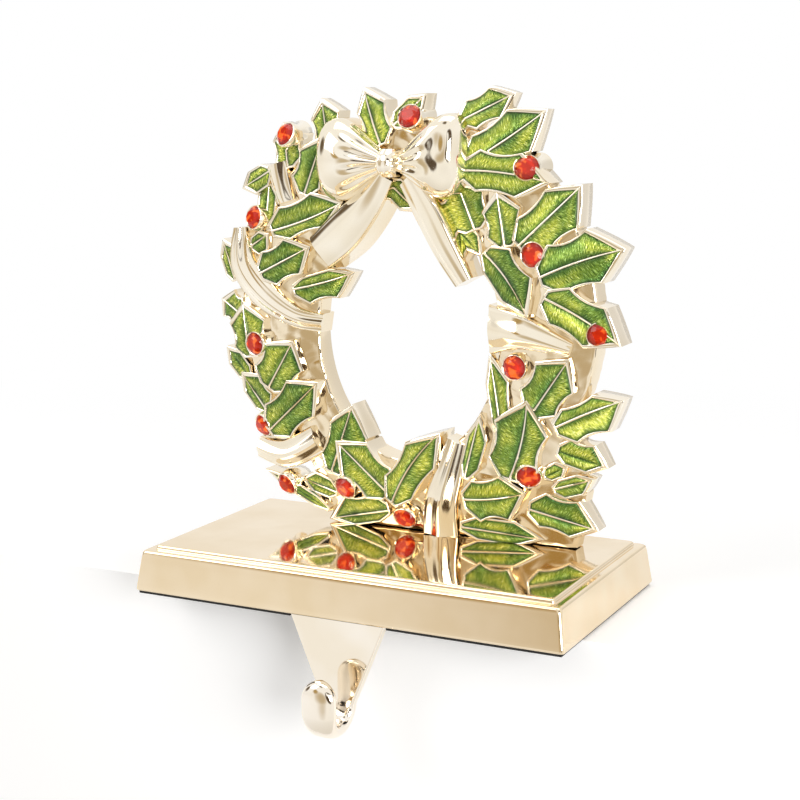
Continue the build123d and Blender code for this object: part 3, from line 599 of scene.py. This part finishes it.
def add_strip(gold, stations, pleats, crease, ridge_at=0.0, draft=0.0):
    """Arched ribbon with hemmed edges and lengthwise folds, its ridge at a share of the half width."""
    rows = []
    spots = spread(stations, STRIP_ROWS)
    for k, (x, z, width, edge, ridge) in enumerate(spots):
        before, after = spots[max(k - 1, 0)], spots[min(k + 1, len(spots) - 1)]
        turn = math.atan2(after[1] - before[1], after[0] - before[0])
        dx, dz = -math.sin(turn) * width / 2, math.cos(turn) * width / 2
        drift = FOLD_DRIFT * math.sin(3 * k / (len(spots) - 1))
        # Painted shade: deep along the edges, some on the walls, a little on the shoulders.
        outline = [(-1.0, RIBBON_FOOT, WALL_SHADE), (draft - 1.0, edge - SHOULDER, SHOULDER_SHADE)]
        for j in range(STRIP_STEPS + 1):
            s = -1 + 2 * j / STRIP_STEPS
            fold = crease * math.cos(pleats * math.pi * s + drift)
            hem = HEM * math.exp(-((abs(s) - HEM_AT) / HEM_WIDE)**2)
            side = (s - ridge_at) / (1 + ridge_at if s < ridge_at else 1 - ridge_at)
            lift = mix(edge, ridge, (1 - abs(side)**ARCH)**ARCH_TOP) + fold * (1 - s**4) + hem
            round_off = ROUND_OFF * max(0.0, (abs(s) - 1 + HEM_WIDE) / HEM_WIDE)**2
            shade_depth = EDGE_SHADE if abs(s) == 1 else 0.0
            outline.append((s * (1 - draft), lift - round_off, shade_depth))
        outline += [(1.0 - draft, edge - SHOULDER, SHOULDER_SHADE), (1.0, RIBBON_FOOT, WALL_SHADE)]
        points = [world(x + dx * s, z + dz * s, height) for s, height, _ in outline]
        rows.append(gold.row(points, shade_marks(shade_depth for _, _, shade_depth in outline)))
    gold.tube(rows)


def loop_dent(run, angle):
    """How deep the outer end of the right loop is pressed in."""
    fall = FALL * max(0.0, (run - FALL_FROM) / FALL_RUN)**2 * math.sin(angle)
    for depth, run_at, run_wide, angle_at, angle_wide in DENTS:
        fall += depth * math.exp(-((run - run_at) / run_wide)**2 - ((angle - angle_at) / angle_wide)**2)
    return fall


def add_loop(gold, side):
    """One puffed loop of the bow, pleated where it enters the knot."""
    x0, z0 = BOW_CENTRE
    rows = []
    reach = LOOP[-1][0]
    # Painted shade on the rows next to the loop's feet.
    shade_depth = LOOP_SHADES + [0.0] * (LOOP_STEPS + 3 - 2 * len(LOOP_SHADES)) + LOOP_SHADES[::-1]
    for run, half, crest in spread(LOOP, LOOP_ROWS):
        x = x0 + side * (KNOT_HALF - SINK_IN + run * LOOP_REACH[side])
        z = z0 + LOOP_RISE[side] * run / reach
        points = [world(x, z - half, BOW_FOOT)]
        for k in range(LOOP_STEPS + 1):
            angle = math.pi * k / LOOP_STEPS
            wave = ((1 - math.cos(2 * PLEATS * angle + PLEAT_SHIFT * side)) / 2)**PLEAT_SHARP
            wave *= math.sin(angle)**PLEAT_FADE
            swell = 1 - PLEAT_DEPTH * math.exp(-(run / PLEAT_RUN)**4) * wave
            height = BOW_SEAT + crest * swell * math.sin(angle)
            if side > 0:
                height -= loop_dent(run, angle)
            points.append(world(x, z - half * swell * math.cos(angle), height))
        points.append(world(x, z + half, BOW_FOOT))
        rows.append(gold.row(points, shade_marks(shade_depth)))
    gold.tube(rows)


def add_knot(gold):
    """Rounded knot with grooves that run up and down."""
    x0, z0 = BOW_CENTRE
    rows = []
    for share, swell in spread(KNOT, KNOT_ROWS):
        half = KNOT_HALF * swell
        z = z0 + share * KNOT_TALL
        points = [world(x0 - half, z, BOW_FOOT)]
        for k in range(KNOT_STEPS + 1):
            angle = math.pi * k / KNOT_STEPS
            wave = (0.5 - 0.5 * math.cos(2 * GROOVES * angle))**2
            groove = 1 - GROOVE * wave * (1 - GROOVE_FADE * share**2)
            height = BOW_SEAT + KNOT_CREST * swell * groove * math.sin(angle)
            points.append(world(x0 - half * groove * math.cos(angle), z, height))
        points.append(world(x0 + half, z, BOW_FOOT))
        rows.append(gold.row(points))
    gold.tube(rows)


# Stones


def seat_frame(spot):
    """Function from a place in a stone's cup (across, up, along its axis) to the row frame."""
    out = (spot[0] - RING_CENTRE[0], spot[1] - RING_CENTRE[1])
    reach = math.hypot(*out)
    share = dome_share(reach)
    lean = STONE_LEAN * max(share, 0.0)
    ax, az = lean * out[0] / reach, lean * out[1] / reach
    height = CREST - DOME_DROP * share**2
    foot = Vector((spot[0] - ax * STONE_BACK, spot[1] - az * STONE_BACK, height))
    axis = Vector((ax, az, 1.0)).normalized()
    side = Vector((1.0, 0.0, -ax)).normalized()
    other = axis.cross(side)
    return lambda a, b, c: world(*(foot + side * a + other * b + axis * c))


def turned(build, place, profile, sides):
    """Rings round a stone's axis, from (radius, height) pairs."""
    rows = []
    turns = ring_turns(sides)
    for radius, height in profile:
        rows.append(build.row([place(radius * math.cos(a), radius * math.sin(a), height) for a in turns]))
    build.skin(rows, closed=True)
    return rows


def add_cup(gold, spot):
    """Thin bezel round a stone, with a post behind it down to the back."""
    inner, outer = STONE_RADIUS + BEZEL_CLEAR, STONE_RADIUS + BEZEL_WALL
    profile = [(outer + more, height) for more, height in BEZEL]
    profile += [(inner, LIP_INSIDE), (inner, GIRDLE[0] + SEAT_CLEAR)]
    profile += [(CULET[0] + SEAT_CLEAR, 0.0), (CUP_EYE, 0.0)]
    rows = turned(gold, seat_frame(spot), profile, CUP_SIDES)
    gold.cap(rows[-1])
    post = []
    for more, height in POST:
        points = []
        for a in ring_turns(CUP_SIDES):
            x, z = spot[0] + (outer + more) * math.cos(a), spot[1] + (outer + more) * math.sin(a)
            points.append(world(x, z, height))
        post.append(gold.row(points))
    gold.skin(post + [rows[0]], closed=True)
    gold.cap(post[0])


def add_stone(number, spot, material):
    """Brilliant with eight mains on its crown and a foil back that narrows to a flat."""
    place = seat_frame(spot)
    build = Build()
    # Painted shade: full on the pavilion and girdle, less at the star points, none on the table.
    profile = [CULET, (STONE_RADIUS, GIRDLE[0]), (STONE_RADIUS, GIRDLE[1])]
    low = turned(build, place, profile, 2 * MAINS)
    build.marks = shade_marks([1.0] * len(build.points))
    build.cap(low[0])
    girdle = low[-1]
    turns = ring_turns(2 * MAINS)
    crown = []
    for (share, height), corners, shade_depth in ((STAR, turns[1::2], STAR_SHADE), (TABLE, turns[::2], 0.0)):
        r = share * STONE_RADIUS
        points = [place(r * math.cos(a), r * math.sin(a), height) for a in corners]
        crown.append(build.row(points, shade_marks([shade_depth] * MAINS)))
    star, table = crown
    for k in range(MAINS):
        g0, g1, g2 = girdle[2 * k], girdle[2 * k + 1], girdle[(2 * k + 2) % (2 * MAINS)]
        build.faces += [(g0, g1, star[k]), (g1, g2, star[k])]
        build.faces += [(g0, star[k], table[k], star[k - 1]), (table[k], star[k], table[(k + 1) % MAINS])]
    build.cap(table)
    obj = build.finish(f"stone_{number:02d}", material)
    obj.data.shade_flat()
    return obj


# Plinth and hook


def base_rings():
    """Section of the plinth from its underside to the platform as (inset, height, corner radius)."""
    low, high = BASE_LOW.z / MM, BASE_HIGH.z / MM
    ledge = high - PLATFORM_STEP
    lean = math.tan(math.radians(BASE_DRAFT)) * (ledge - low)
    rings = [(inset, low + rise, radius) for inset, rise, radius in BASE_ARRIS]
    for k in range(1, BASE_RISES):
        rings.append((lean * k / BASE_RISES, mix(low, ledge, k / BASE_RISES), BASE_CORNER))
    for k in range(1, BASE_TURNS + 1):
        a = math.radians(BASE_DRAFT + (90 - BASE_DRAFT) * k / BASE_TURNS)
        inset = lean - LEDGE_TUCK + LEDGE_ROUND * (1 - math.cos(a))
        rings.append((inset, ledge - LEDGE_ROUND + LEDGE_ROUND * math.sin(a), BASE_CORNER))
    step = lean + LEDGE_WIDE
    rings += [(step - out, ledge + rise, PLATFORM_CORNER) for out, rise in PLATFORM_FOOT]
    for k in range(BASE_TURNS + 1):
        a = math.radians(90 * k / BASE_TURNS)
        inset = step + PLATFORM_ROUND * (1 - math.cos(a))
        rings.append((inset, high - PLATFORM_ROUND + PLATFORM_ROUND * math.sin(a), PLATFORM_CORNER))
    rings.append((step + PLATFORM_RIM, high, PLATFORM_CORNER))
    return rings


def add_base(material):
    """Drafted plinth with rounded edges and a raised platform, as rings of a rounded rectangle."""
    build = Build()
    wide, deep = BASE_HIGH.x / MM, BASE_HIGH.y / MM
    rows = []
    for inset, z, radius in base_rings():
        points = []
        for cx, cy, start in QUARTERS:
            for k in range(BASE_TURNS + 1):
                a = math.radians(start + 90 * k / BASE_TURNS)
                x = cx * (wide - inset - radius) + radius * math.cos(a)
                y = cy * (deep - inset - radius) + radius * math.sin(a)
                points.append((x * MM, y * MM, z * MM))
        rows.append(build.row(points))
    build.tube(rows)
    obj = build.finish("base", material)
    weigh(obj, 90)
    return obj


def weigh(obj, weight):
    """Flat faces stay flat beside rounded edges, the more so the higher the weight."""
    modifier = obj.modifiers.new("normals", "WEIGHTED_NORMAL")
    modifier.keep_sharp = True
    modifier.weight = weight


def hook_ring(y, z, turn, width, thickness, radius, bulge=0.0):
    """Rounded section square to the hook's run, drawn towards an oval by its bulge."""
    w, t = width / 2, thickness / 2
    radius = min(radius, t * EDGE_LIMIT, w * EDGE_LIMIT)
    points = []
    for cx, cn, start in QUARTERS:
        for k in range(EDGE_STEPS + 1):
            a = math.radians(start + 90 * k / EDGE_STEPS)
            x = mix(cx * (w - radius) + radius * math.cos(a), w * math.cos(a), bulge)
            n = mix(cn * (t - radius) + radius * math.sin(a), t * math.sin(a), bulge)
            points.append((x * MM, (y + n * math.cos(turn)) * MM, (z + n * math.sin(turn)) * MM))
    return points


def plate_rings(front, top, wide):
    """Sections of the plate, which narrows downwards."""
    rings = []
    for k in range(PLATE_ROWS + 1):
        share = k / PLATE_ROWS
        z = mix(top - PLATE_CLEAR, -HOOK_DROP, share)
        width = mix(wide, PLATE_END, share)
        radius = mix(*PLATE_EDGE, share**3)
        rings.append(hook_ring(front + PLATE_THICK / 2, z, 0, width, PLATE_THICK, radius))
    return rings


def curl_rings(front):
    """Sections of the curl, half a turn that thickens and widens towards the tip."""
    inner = HOOK_GAP / 2
    rings = []
    for k in range(1, CURL_ROWS + 1):
        share = k / CURL_ROWS
        first, second = min(2 * share, 1.0), max(2 * share - 1, 0.0)
        thick = mix(PLATE_THICK, CURL_THICK, first) + (TIP_THICK - CURL_THICK) * second
        width = mix(PLATE_END, CURL_WIDE, math.sin(first * math.pi / 2))
        width += (TIP_WIDE - CURL_WIDE) * second**1.5
        turn = -math.pi * share
        reach = inner + thick / 2
        y, z = front - inner + reach * math.cos(turn), -HOOK_DROP + reach * math.sin(turn)
        rings.append(hook_ring(y, z, turn, width, thick, mix(*CURL_EDGE, share), TIP_BULGE * share))
    return rings


def tip_rings(front):
    """Sections of the tip, which leans in and closes in a round end."""
    y = front - HOOK_GAP - TIP_THICK / 2
    half = TIP_WIDE / 2
    z = -HOOK_DROP + (TIP_RISE - half) / 2
    rings = [hook_ring(y, z, -math.pi, TIP_WIDE, TIP_THICK, STEM_EDGE, TIP_BULGE)]
    for k in range(TIP_ROWS + 1):
        a = TIP_CLOSE * math.pi * k / TIP_ROWS
        shrink = math.cos(a)
        z = -HOOK_DROP + TIP_RISE - half * (1 - math.sin(a))
        lean = y + TIP_LEAN * (1 - shrink)
        thick = TIP_THICK * math.sqrt(shrink)
        rings.append(hook_ring(lean, z, -math.pi, TIP_WIDE * shrink, thick, TIP_EDGE, TIP_BULGE))
    return rings


def add_hook(material):
    """Tapering plate, curl and rounded tip, and the flat tang that goes into the plinth."""
    build = Build()
    wide = HOOK_HIGH.x * 2 / MM
    top = BASE_LOW.z / MM
    front = BASE_LOW.y / MM + PLATE_SETBACK
    rings = plate_rings(front, top, wide) + curl_rings(front) + tip_rings(front)
    rows = [build.row(ring) for ring in rings]
    build.tube(rows)
    back, tang = front + TANG_LAP, HOOK_HIGH.y / MM
    corners = [(sx * wide / 2, y) for sx, y in ((-1, back), (1, back), (1, tang), (-1, tang))]
    low = build.row([(x * MM, y * MM, top * MM) for x, y in corners])
    high = build.row([(x * MM, y * MM, HOOK_HIGH.z) for x, y in corners])
    build.tube([low, high])
    obj = build.finish("hook_piece", material, sharp=50)
    weigh(obj, 50)
    return obj


# Materials, with colour ramps as (place, colour) stops

SHADED_GOLD = (0.80, 0.58, 0.27, 1.0)
DULL_GOLD = (0.94, 0.91, 0.84)
GOLD_CLOUD, GOLD_POLISH, GOLD_RELIEF = 60.0, (0.7, 1.4), 0.0004
ENAMEL_RELIEF = 0.0003
LINES_ALONG, LINES_ACROSS = 12.0, 0.5
# Enamel greens from edge to middle; the darker edge is painted shade.
ENAMEL_SHADED_GREENS = [(0.0, (0.024, 0.070, 0.007)), (0.35, (0.090, 0.178, 0.014)), (1.0, (0.265, 0.365, 0.032))]
# Engraved lines under the enamel: darker grooves, and stops far above one that are painted glints.
ENAMEL_LINES_AND_GLINTS = [
    (0.40, (0.14, 0.30, 0.18)),
    (0.50, (0.90, 0.95, 0.8)),
    (0.60, (3.0, 2.3, 3.4)),
    (0.65, (7.5, 6.0, 22.0)),
]
ENAMEL_PATCHES = [(0.36, (0.46, 0.64, 0.62)), (0.64, (1.45, 1.28, 1.25))]
# Stone reds from table to girdle, the darkening being painted shade, then painted orange glints.
STONE_SHADED_REDS = [(0.0, (0.80, 0.035, 0.008)), (1.0, (0.36, 0.010, 0.004))]
STONE_GLINTS = [(0.54, (0.0, 0.0, 0.0)), (0.66, (0.9, 0.26, 0.035))]
FELT_BLACKS = [(0.3, (0.010, 0.010, 0.010)), (0.7, (0.035, 0.034, 0.032))]
STEEL_GREYS = [(0.3, (0.45, 0.45, 0.46)), (0.7, (0.62, 0.62, 0.63))]
SHELF_WHITES = [(0.3, (0.93, 0.93, 0.93)), (0.7, (0.95, 0.95, 0.95))]
WHITE = (1.0, 1.0, 1.0, 1.0)


def shader(name):
    """New material, its nodes and its main shader."""
    material = bpy.data.materials.new(name)
    material.use_nodes = True
    tree = material.node_tree
    return material, tree, tree.nodes["Principled BSDF"]


def feed(tree, made, inputs):
    """Gives a node its inputs by name or number, each a value or a link from another node."""
    for key, value in inputs.items():
        if isinstance(value, bpy.types.NodeSocket):
            tree.links.new(value, made.inputs[key])
        else:
            made.inputs[key].default_value = value


def node(tree, kind, inputs, **settings):
    """Outputs of a new shader node with its settings and inputs."""
    made = tree.nodes.new("ShaderNode" + kind)
    for key, value in settings.items():
        setattr(made, key, value)
    feed(tree, made, inputs)
    return made.outputs


def ramp(tree, factor, stops):
    """Colour ramp from (place, colour) stops."""
    made = tree.nodes.new("ShaderNodeValToRGB")
    elements = made.color_ramp.elements
    while len(elements) < len(stops):
        elements.new(0.5)
    for element, (place, colour) in zip(elements, stops):
        element.position = place
        element.color = (*colour, 1.0)
    tree.links.new(factor, made.inputs["Fac"])
    return made.outputs["Color"]


def noise(tree, scale, detail):
    """Noise in the object's own coordinates."""
    place = node(tree, "TexCoord", {})["Object"]
    return node(tree, "TexNoise", {"Vector": place, "Scale": scale, "Detail": detail})["Fac"]


def read_marks(tree):
    """The three values that each vertex carries."""
    mark = node(tree, "Attribute", {}, attribute_name="mark")["Vector"]
    return node(tree, "SeparateXYZ", {"Vector": mark})


def blend(tree, share, one, two, kind="MIX"):
    """Two colours mixed by a share, or multiplied or added."""
    return node(tree, "Mix", {0: share, 6: one, 7: two}, data_type="RGBA", blend_type=kind)[2]


def bump(tree, height, strength, distance):
    """Relief in the surface from a height."""
    return node(tree, "Bump", {"Height": height, "Strength": strength, "Distance": distance})["Normal"]


def times(tree, one, two):
    """Product of two values."""
    return node(tree, "Math", {0: one, 1: two}, operation="MULTIPLY")["Value"]


def most(tree, one, two):
    """Greater of two values."""
    return node(tree, "Math", {0: one, 1: two}, operation="MAXIMUM")["Value"]


def gold_material(name, tint, rough, wave, grain):
    """Pale gold plating, uneven in colour and polish, with painted shade, a deeper gold, where the casting
    lies low and along its walls and edges.
    """
    material, tree, bsdf = shader(name)
    soft = noise(tree, GOLD_CLOUD, 2.0)
    fine = noise(tree, grain, 3.0)
    dull = tuple(c * f for c, f in zip(tint, DULL_GOLD))
    plate = ramp(tree, soft, [(0.35, dull), (0.65, tint)])
    smooth, dim = [rough * share for share in GOLD_POLISH]
    polish = node(tree, "MapRange", {"Value": fine, "To Min": smooth, "To Max": dim})
    feed(tree, bsdf, {
        # Painted shade: the first mark mixes in a deeper gold.
        "Base Color": blend(tree, read_marks(tree)["X"], plate, SHADED_GOLD),
        "Roughness": polish["Result"],
        "Normal": bump(tree, soft, wave, GOLD_RELIEF),
        "Metallic": 1.0,
    })
    return material


def engraved_lines(tree, split):
    """Noise drawn out into lines that run from the midrib to the margin."""
    stretch = {"X": times(tree, split["X"], LINES_ALONG), "Y": times(tree, split["Y"], LINES_ACROSS)}
    place = node(tree, "CombineXYZ", stretch)["Vector"]
    return node(tree, "TexNoise", {"Vector": place, "Scale": 1.0, "Detail": 3.0, "Roughness": 0.6})["Fac"]


def enamel_material():
    """Clear green enamel over engraved lines, with painted shade at its edges, painted glints along the
    lines, and patches that differ at random.
    """
    material, tree, bsdf = shader("green_enamel")
    split = read_marks(tree)
    lines = engraved_lines(tree, split)
    green = ramp(tree, split["Z"], ENAMEL_SHADED_GREENS)
    lines_and_glints = blend(tree, 1.0, green, ramp(tree, lines, ENAMEL_LINES_AND_GLINTS), "MULTIPLY")
    patch = ramp(tree, noise(tree, 130.0, 1.0), ENAMEL_PATCHES)
    feed(tree, bsdf, {
        "Base Color": blend(tree, 1.0, lines_and_glints, patch, "MULTIPLY"),
        "Normal": bump(tree, lines, 0.5, ENAMEL_RELIEF),
        "Metallic": 0.6,
        "Roughness": 0.28,
        "Coat Weight": 0.28,
        "Coat Roughness": 0.08,
    })
    return material


def stone_material():
    """Red glass with painted shade, darkest at the girdle, and painted orange glints and a faint painted
    glow for light off the foil behind it.
    """
    material, tree, bsdf = shader("red_stone")
    red = ramp(tree, read_marks(tree)["X"], STONE_SHADED_REDS)
    glint = ramp(tree, noise(tree, 480.0, 1.0), STONE_GLINTS)
    colour = blend(tree, 1.0, red, glint, "ADD")
    feed(tree, bsdf, {
        "Base Color": colour,
        # Faint painted glow: the stone gives off its own colour though it is no lamp.
        "Emission Color": colour,
        "Emission Strength": 0.12,
        "Transmission Weight": 0.5,
        "Roughness": 0.03,
        "IOR": 1.45,
    })
    return material


def felt_material():
    """Black felt of the pad."""
    material, tree, bsdf = shader("black_felt")
    feed(tree, bsdf, {"Base Color": ramp(tree, noise(tree, 2500.0, 3.0), FELT_BLACKS), "Roughness": 0.95})
    return material


def steel_material():
    """Plain steel of the hidden screw."""
    material, tree, bsdf = shader("screw_steel")
    grey = ramp(tree, noise(tree, 900.0, 2.0), STEEL_GREYS)
    feed(tree, bsdf, {"Base Color": grey, "Metallic": 1.0, "Roughness": 0.35})
    return material


# Object

plate_gold = gold_material("pale_gold_plate", (0.91, 0.77, 0.57), rough=0.06, wave=0.05, grain=260.0)
hook_gold = gold_material("pale_gold_hook", (0.96, 0.89, 0.79), rough=0.07, wave=0.08, grain=260.0)
cast_gold = gold_material("pale_gold_cast", (0.96, 0.89, 0.76), rough=0.09, wave=0.30, grain=900.0)
enamel_green = enamel_material()
stone_red = stone_material()

gold, enamel = Build(), Build()
add_ground(gold)
for count, leaf in enumerate(sorted(LEAVES, key=lambda item: item.layer)):
    add_leaf(gold, enamel, leaf, BACK_START + BACK_STEP * count)
for stations, pleats in zip(BANDS, BAND_PLEATS):
    add_strip(gold, stations, pleats, BAND_CREASE)
for stations, folds in zip(TAILS, TAIL_FOLDS):
    add_strip(gold, stations, *folds)
for side in (-1, 1):
    add_loop(gold, side)
add_knot(gold)
for spot in STONES:
    add_cup(gold, spot)
wreath = gold.finish("wreath", cast_gold, sharp=40)
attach(wreath, "root")
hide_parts("wreath_casting")

fills = enamel.finish("enamel", enamel_green)
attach(fills, "root")
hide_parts("leaf_enamel")

for number, spot in enumerate(STONES, 1):
    stone = add_stone(number, spot, stone_red)
    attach(stone, "root")
    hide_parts(f"rhinestone_{number:02d}")

base = add_base(plate_gold)
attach(base, "root")
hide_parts("base_casting")

hook = add_hook(hook_gold)
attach(hook, "root")
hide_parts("hook")

for name, material in (("base_pad", felt_material()), ("hook_screw", steel_material())):
    frame["nodes"][name].data.materials.clear()
    frame["nodes"][name].data.materials.append(material)

# Stage, in metres: a white shelf whose front face stands just behind the hook's plate. It glows faintly near
# the object and turns to plain white further out, so that its edge does not show.
SHELF_FRONT = BASE_LOW.y + 0.016
SHELF_REACH = 0.6
SHELF_GLOW = 0.22
GLOW_NEAR, GLOW_FAR = 0.10, 0.40
# Flags and windows of the studio as azimuth, elevation, inner and outer half angle, and colour.
FLAGS = [
    (-2.0, -2.0, 4.0, 28.0, (0.58, 0.48, 0.33)),
    (46.0, 10.0, 25.0, 30.0, (0.09, 0.06, 0.035)),
    (34.0, 22.0, 7.0, 10.0, (1.0, 1.0, 1.0)),
    (58.0, -6.0, 8.0, 11.0, (1.0, 1.0, 1.0)),
    (-75.0, 18.0, 6.0, 16.0, (0.14, 0.10, 0.06)),
    (0.0, 66.0, 5.0, 10.0, (0.16, 0.12, 0.07)),
    (154.0, 6.0, 8.0, 28.0, (0.80, 0.79, 0.78)),
    (-26.0, 15.0, 5.0, 13.0, (0.45, 0.31, 0.12)),
]
# Studio from straight below to straight above as (share of the way up, colour).
STUDIO_LEVELS = [
    (0.0, (0.80, 0.77, 0.72)),
    (0.33, (1.0, 1.0, 1.0)),
    (0.44, (0.98, 0.97, 0.95)),
    (0.49, (0.93, 0.91, 0.88)),
    (0.58, (0.96, 0.95, 0.93)),
    (0.70, (1.0, 1.0, 1.0)),
]
STUDIO_LIGHT, STUDIO_MIRRORED = 0.5, 1.0
# Lamps as name, place, aim, size and power in watts.
LAMPS = [
    ("key", (0.75, -0.55, 0.16), (0.0, 0.0, 0.03), (0.45, 0.45), 6.5),
    ("fill", (-0.6, -0.6, 0.7), (0.0, 0.0, 0.07), (0.6, 0.6), 3.2),
    ("top", (0.0, 0.15, 1.1), (0.0, 0.0, 0.05), (0.9, 0.6), 2.6),
]
# Camera solved from the plinth's edges in the photo: place, then angles in degrees and lens in millimetres.
CAMERA_PLACE = (0.20464, -0.40868, 0.13734)
CAMERA_TURN, CAMERA_LIFT, CAMERA_ROLL = 26.427, 10.224, -0.171
CAMERA_LENS, CAMERA_SENSOR = 74.5, 36.0


def toward(azimuth, elevation):
    """Direction from angles in radians, where nought and nought is straight to the front."""
    flat = math.cos(elevation)
    return (math.sin(azimuth) * flat, -math.cos(azimuth) * flat, math.sin(elevation))


def far_share(tree):
    """Nought near the object and one far out on the shelf."""
    place = node(tree, "TexCoord", {})["Object"]
    reach = node(tree, "VectorMath", {0: place}, operation="LENGTH")["Value"]
    limits = {"Value": reach, "From Min": GLOW_NEAR, "From Max": GLOW_FAR}
    return node(tree, "MapRange", limits, interpolation_type="SMOOTHSTEP")["Result"]


def stage_material():
    """Matt white that shows as the photograph's white ground and keeps the shadows."""
    material, tree, bsdf = shader("white_shelf")
    path = node(tree, "LightPath", {})
    seen = most(tree, path["Is Camera Ray"], path["Is Glossy Ray"])
    seen = most(tree, seen, path["Is Transmission Ray"])
    feed(tree, bsdf, {
        "Base Color": ramp(tree, noise(tree, 3.0, 2.0), SHELF_WHITES),
        "Roughness": 0.9,
        "Emission Color": WHITE,
        "Emission Strength": times(tree, seen, SHELF_GLOW),
    })
    clear = node(tree, "Emission", {"Color": WHITE, "Strength": 1.0})["Emission"]
    share = times(tree, seen, far_share(tree))
    surface = node(tree, "MixShader", {"Fac": share, 1: bsdf.outputs["BSDF"], 2: clear})["Shader"]
    feed(tree, tree.nodes["Material Output"], {"Surface": surface})
    return material


def add_stage():
    """Top and front face of the shelf."""
    build = Build()
    rows = []
    for y, z in ((SHELF_FRONT, -SHELF_REACH), (SHELF_FRONT, 0.0), (SHELF_REACH, 0.0)):
        rows.append(build.row([(-SHELF_REACH, y, z), (SHELF_REACH, y, z)]))
    build.skin(rows)
    shelf = build.finish("shelf", stage_material(), sharp=30)


def add_lamp(name, place, aim, size, power):
    """Rectangular lamp turned to its aim."""
    data = bpy.data.lights.new(name, "AREA")
    data.shape = "RECTANGLE"
    data.size, data.size_y = size
    data.energy = power
    lamp = bpy.data.objects.new(name, data)
    lamp.location = place
    lamp.rotation_mode = "QUATERNION"
    lamp.rotation_quaternion = (Vector(aim) - Vector(place)).to_track_quat("-Z", "Y")
    bpy.context.collection.objects.link(lamp)


def flag(tree, place, value, azimuth, elevation, inner, outer, colour):
    """Colours the studio round one direction, as a flag or window beside the camera does."""
    way = toward(math.radians(azimuth), math.radians(elevation))
    dot = node(tree, "VectorMath", {0: place, 1: way}, operation="DOT_PRODUCT")["Value"]
    limits = {"From Min": math.cos(math.radians(outer)), "From Max": math.cos(math.radians(inner))}
    fade = node(tree, "MapRange", {"Value": dot, **limits}, interpolation_type="SMOOTHSTEP")["Result"]
    return blend(tree, fade, value, (*colour, 1.0))


def studio_colour(tree):
    """White studio with a warmer floor, its flags and its windows."""
    place = node(tree, "TexCoord", {})["Generated"]
    height = node(tree, "SeparateXYZ", {"Vector": place})["Z"]
    lift = node(tree, "MapRange", {"Value": height, "From Min": -1.0, "From Max": 1.0})["Result"]
    shade = ramp(tree, lift, STUDIO_LEVELS)
    for values in FLAGS:
        shade = flag(tree, place, shade, *values)
    return shade


def add_world():
    """Studio that lights the object and that the plating mirrors, seen as plain white behind it."""
    sky = bpy.data.worlds.new("studio")
    bpy.context.scene.world = sky
    sky.use_nodes = True
    tree = sky.node_tree
    tree.nodes.clear()
    path = node(tree, "LightPath", {})
    levels = {"Value": path["Is Glossy Ray"], "To Min": STUDIO_LIGHT, "To Max": STUDIO_MIRRORED}
    strength = node(tree, "MapRange", levels)["Result"]
    studio = node(tree, "Background", {"Color": studio_colour(tree), "Strength": strength})["Background"]
    white = node(tree, "Background", {"Color": WHITE, "Strength": 1.0})["Background"]
    clear = most(tree, path["Is Camera Ray"], path["Is Transmission Ray"])
    surface = node(tree, "MixShader", {"Fac": clear, 1: studio, 2: white})["Shader"]
    node(tree, "OutputWorld", {"Surface": surface})


def add_camera():
    """Camera that looks along the photo's line of sight."""
    data = bpy.data.cameras.new("camera")
    data.sensor_width = CAMERA_SENSOR
    data.lens = CAMERA_LENS
    data.clip_start, data.clip_end = 0.01, 50.0
    cam = bpy.data.objects.new("camera", data)
    turn, lift, roll = [math.radians(a) for a in (CAMERA_TURN, CAMERA_LIFT, CAMERA_ROLL)]
    back = Vector(toward(turn, lift))
    right = Vector((math.cos(turn), math.sin(turn), 0.0))
    up = back.cross(right)
    right, up = right * math.cos(roll) + up * math.sin(roll), up * math.cos(roll) - right * math.sin(roll)
    cam.matrix_world = Matrix((right, up, back)).transposed().to_4x4()
    cam.location = CAMERA_PLACE
    bpy.context.collection.objects.link(cam)
    bpy.context.scene.camera = cam


add_stage()
for lamp in LAMPS:
    add_lamp(*lamp)
add_world()
add_camera()

bpy.context.scene.view_settings.view_transform = "Standard"
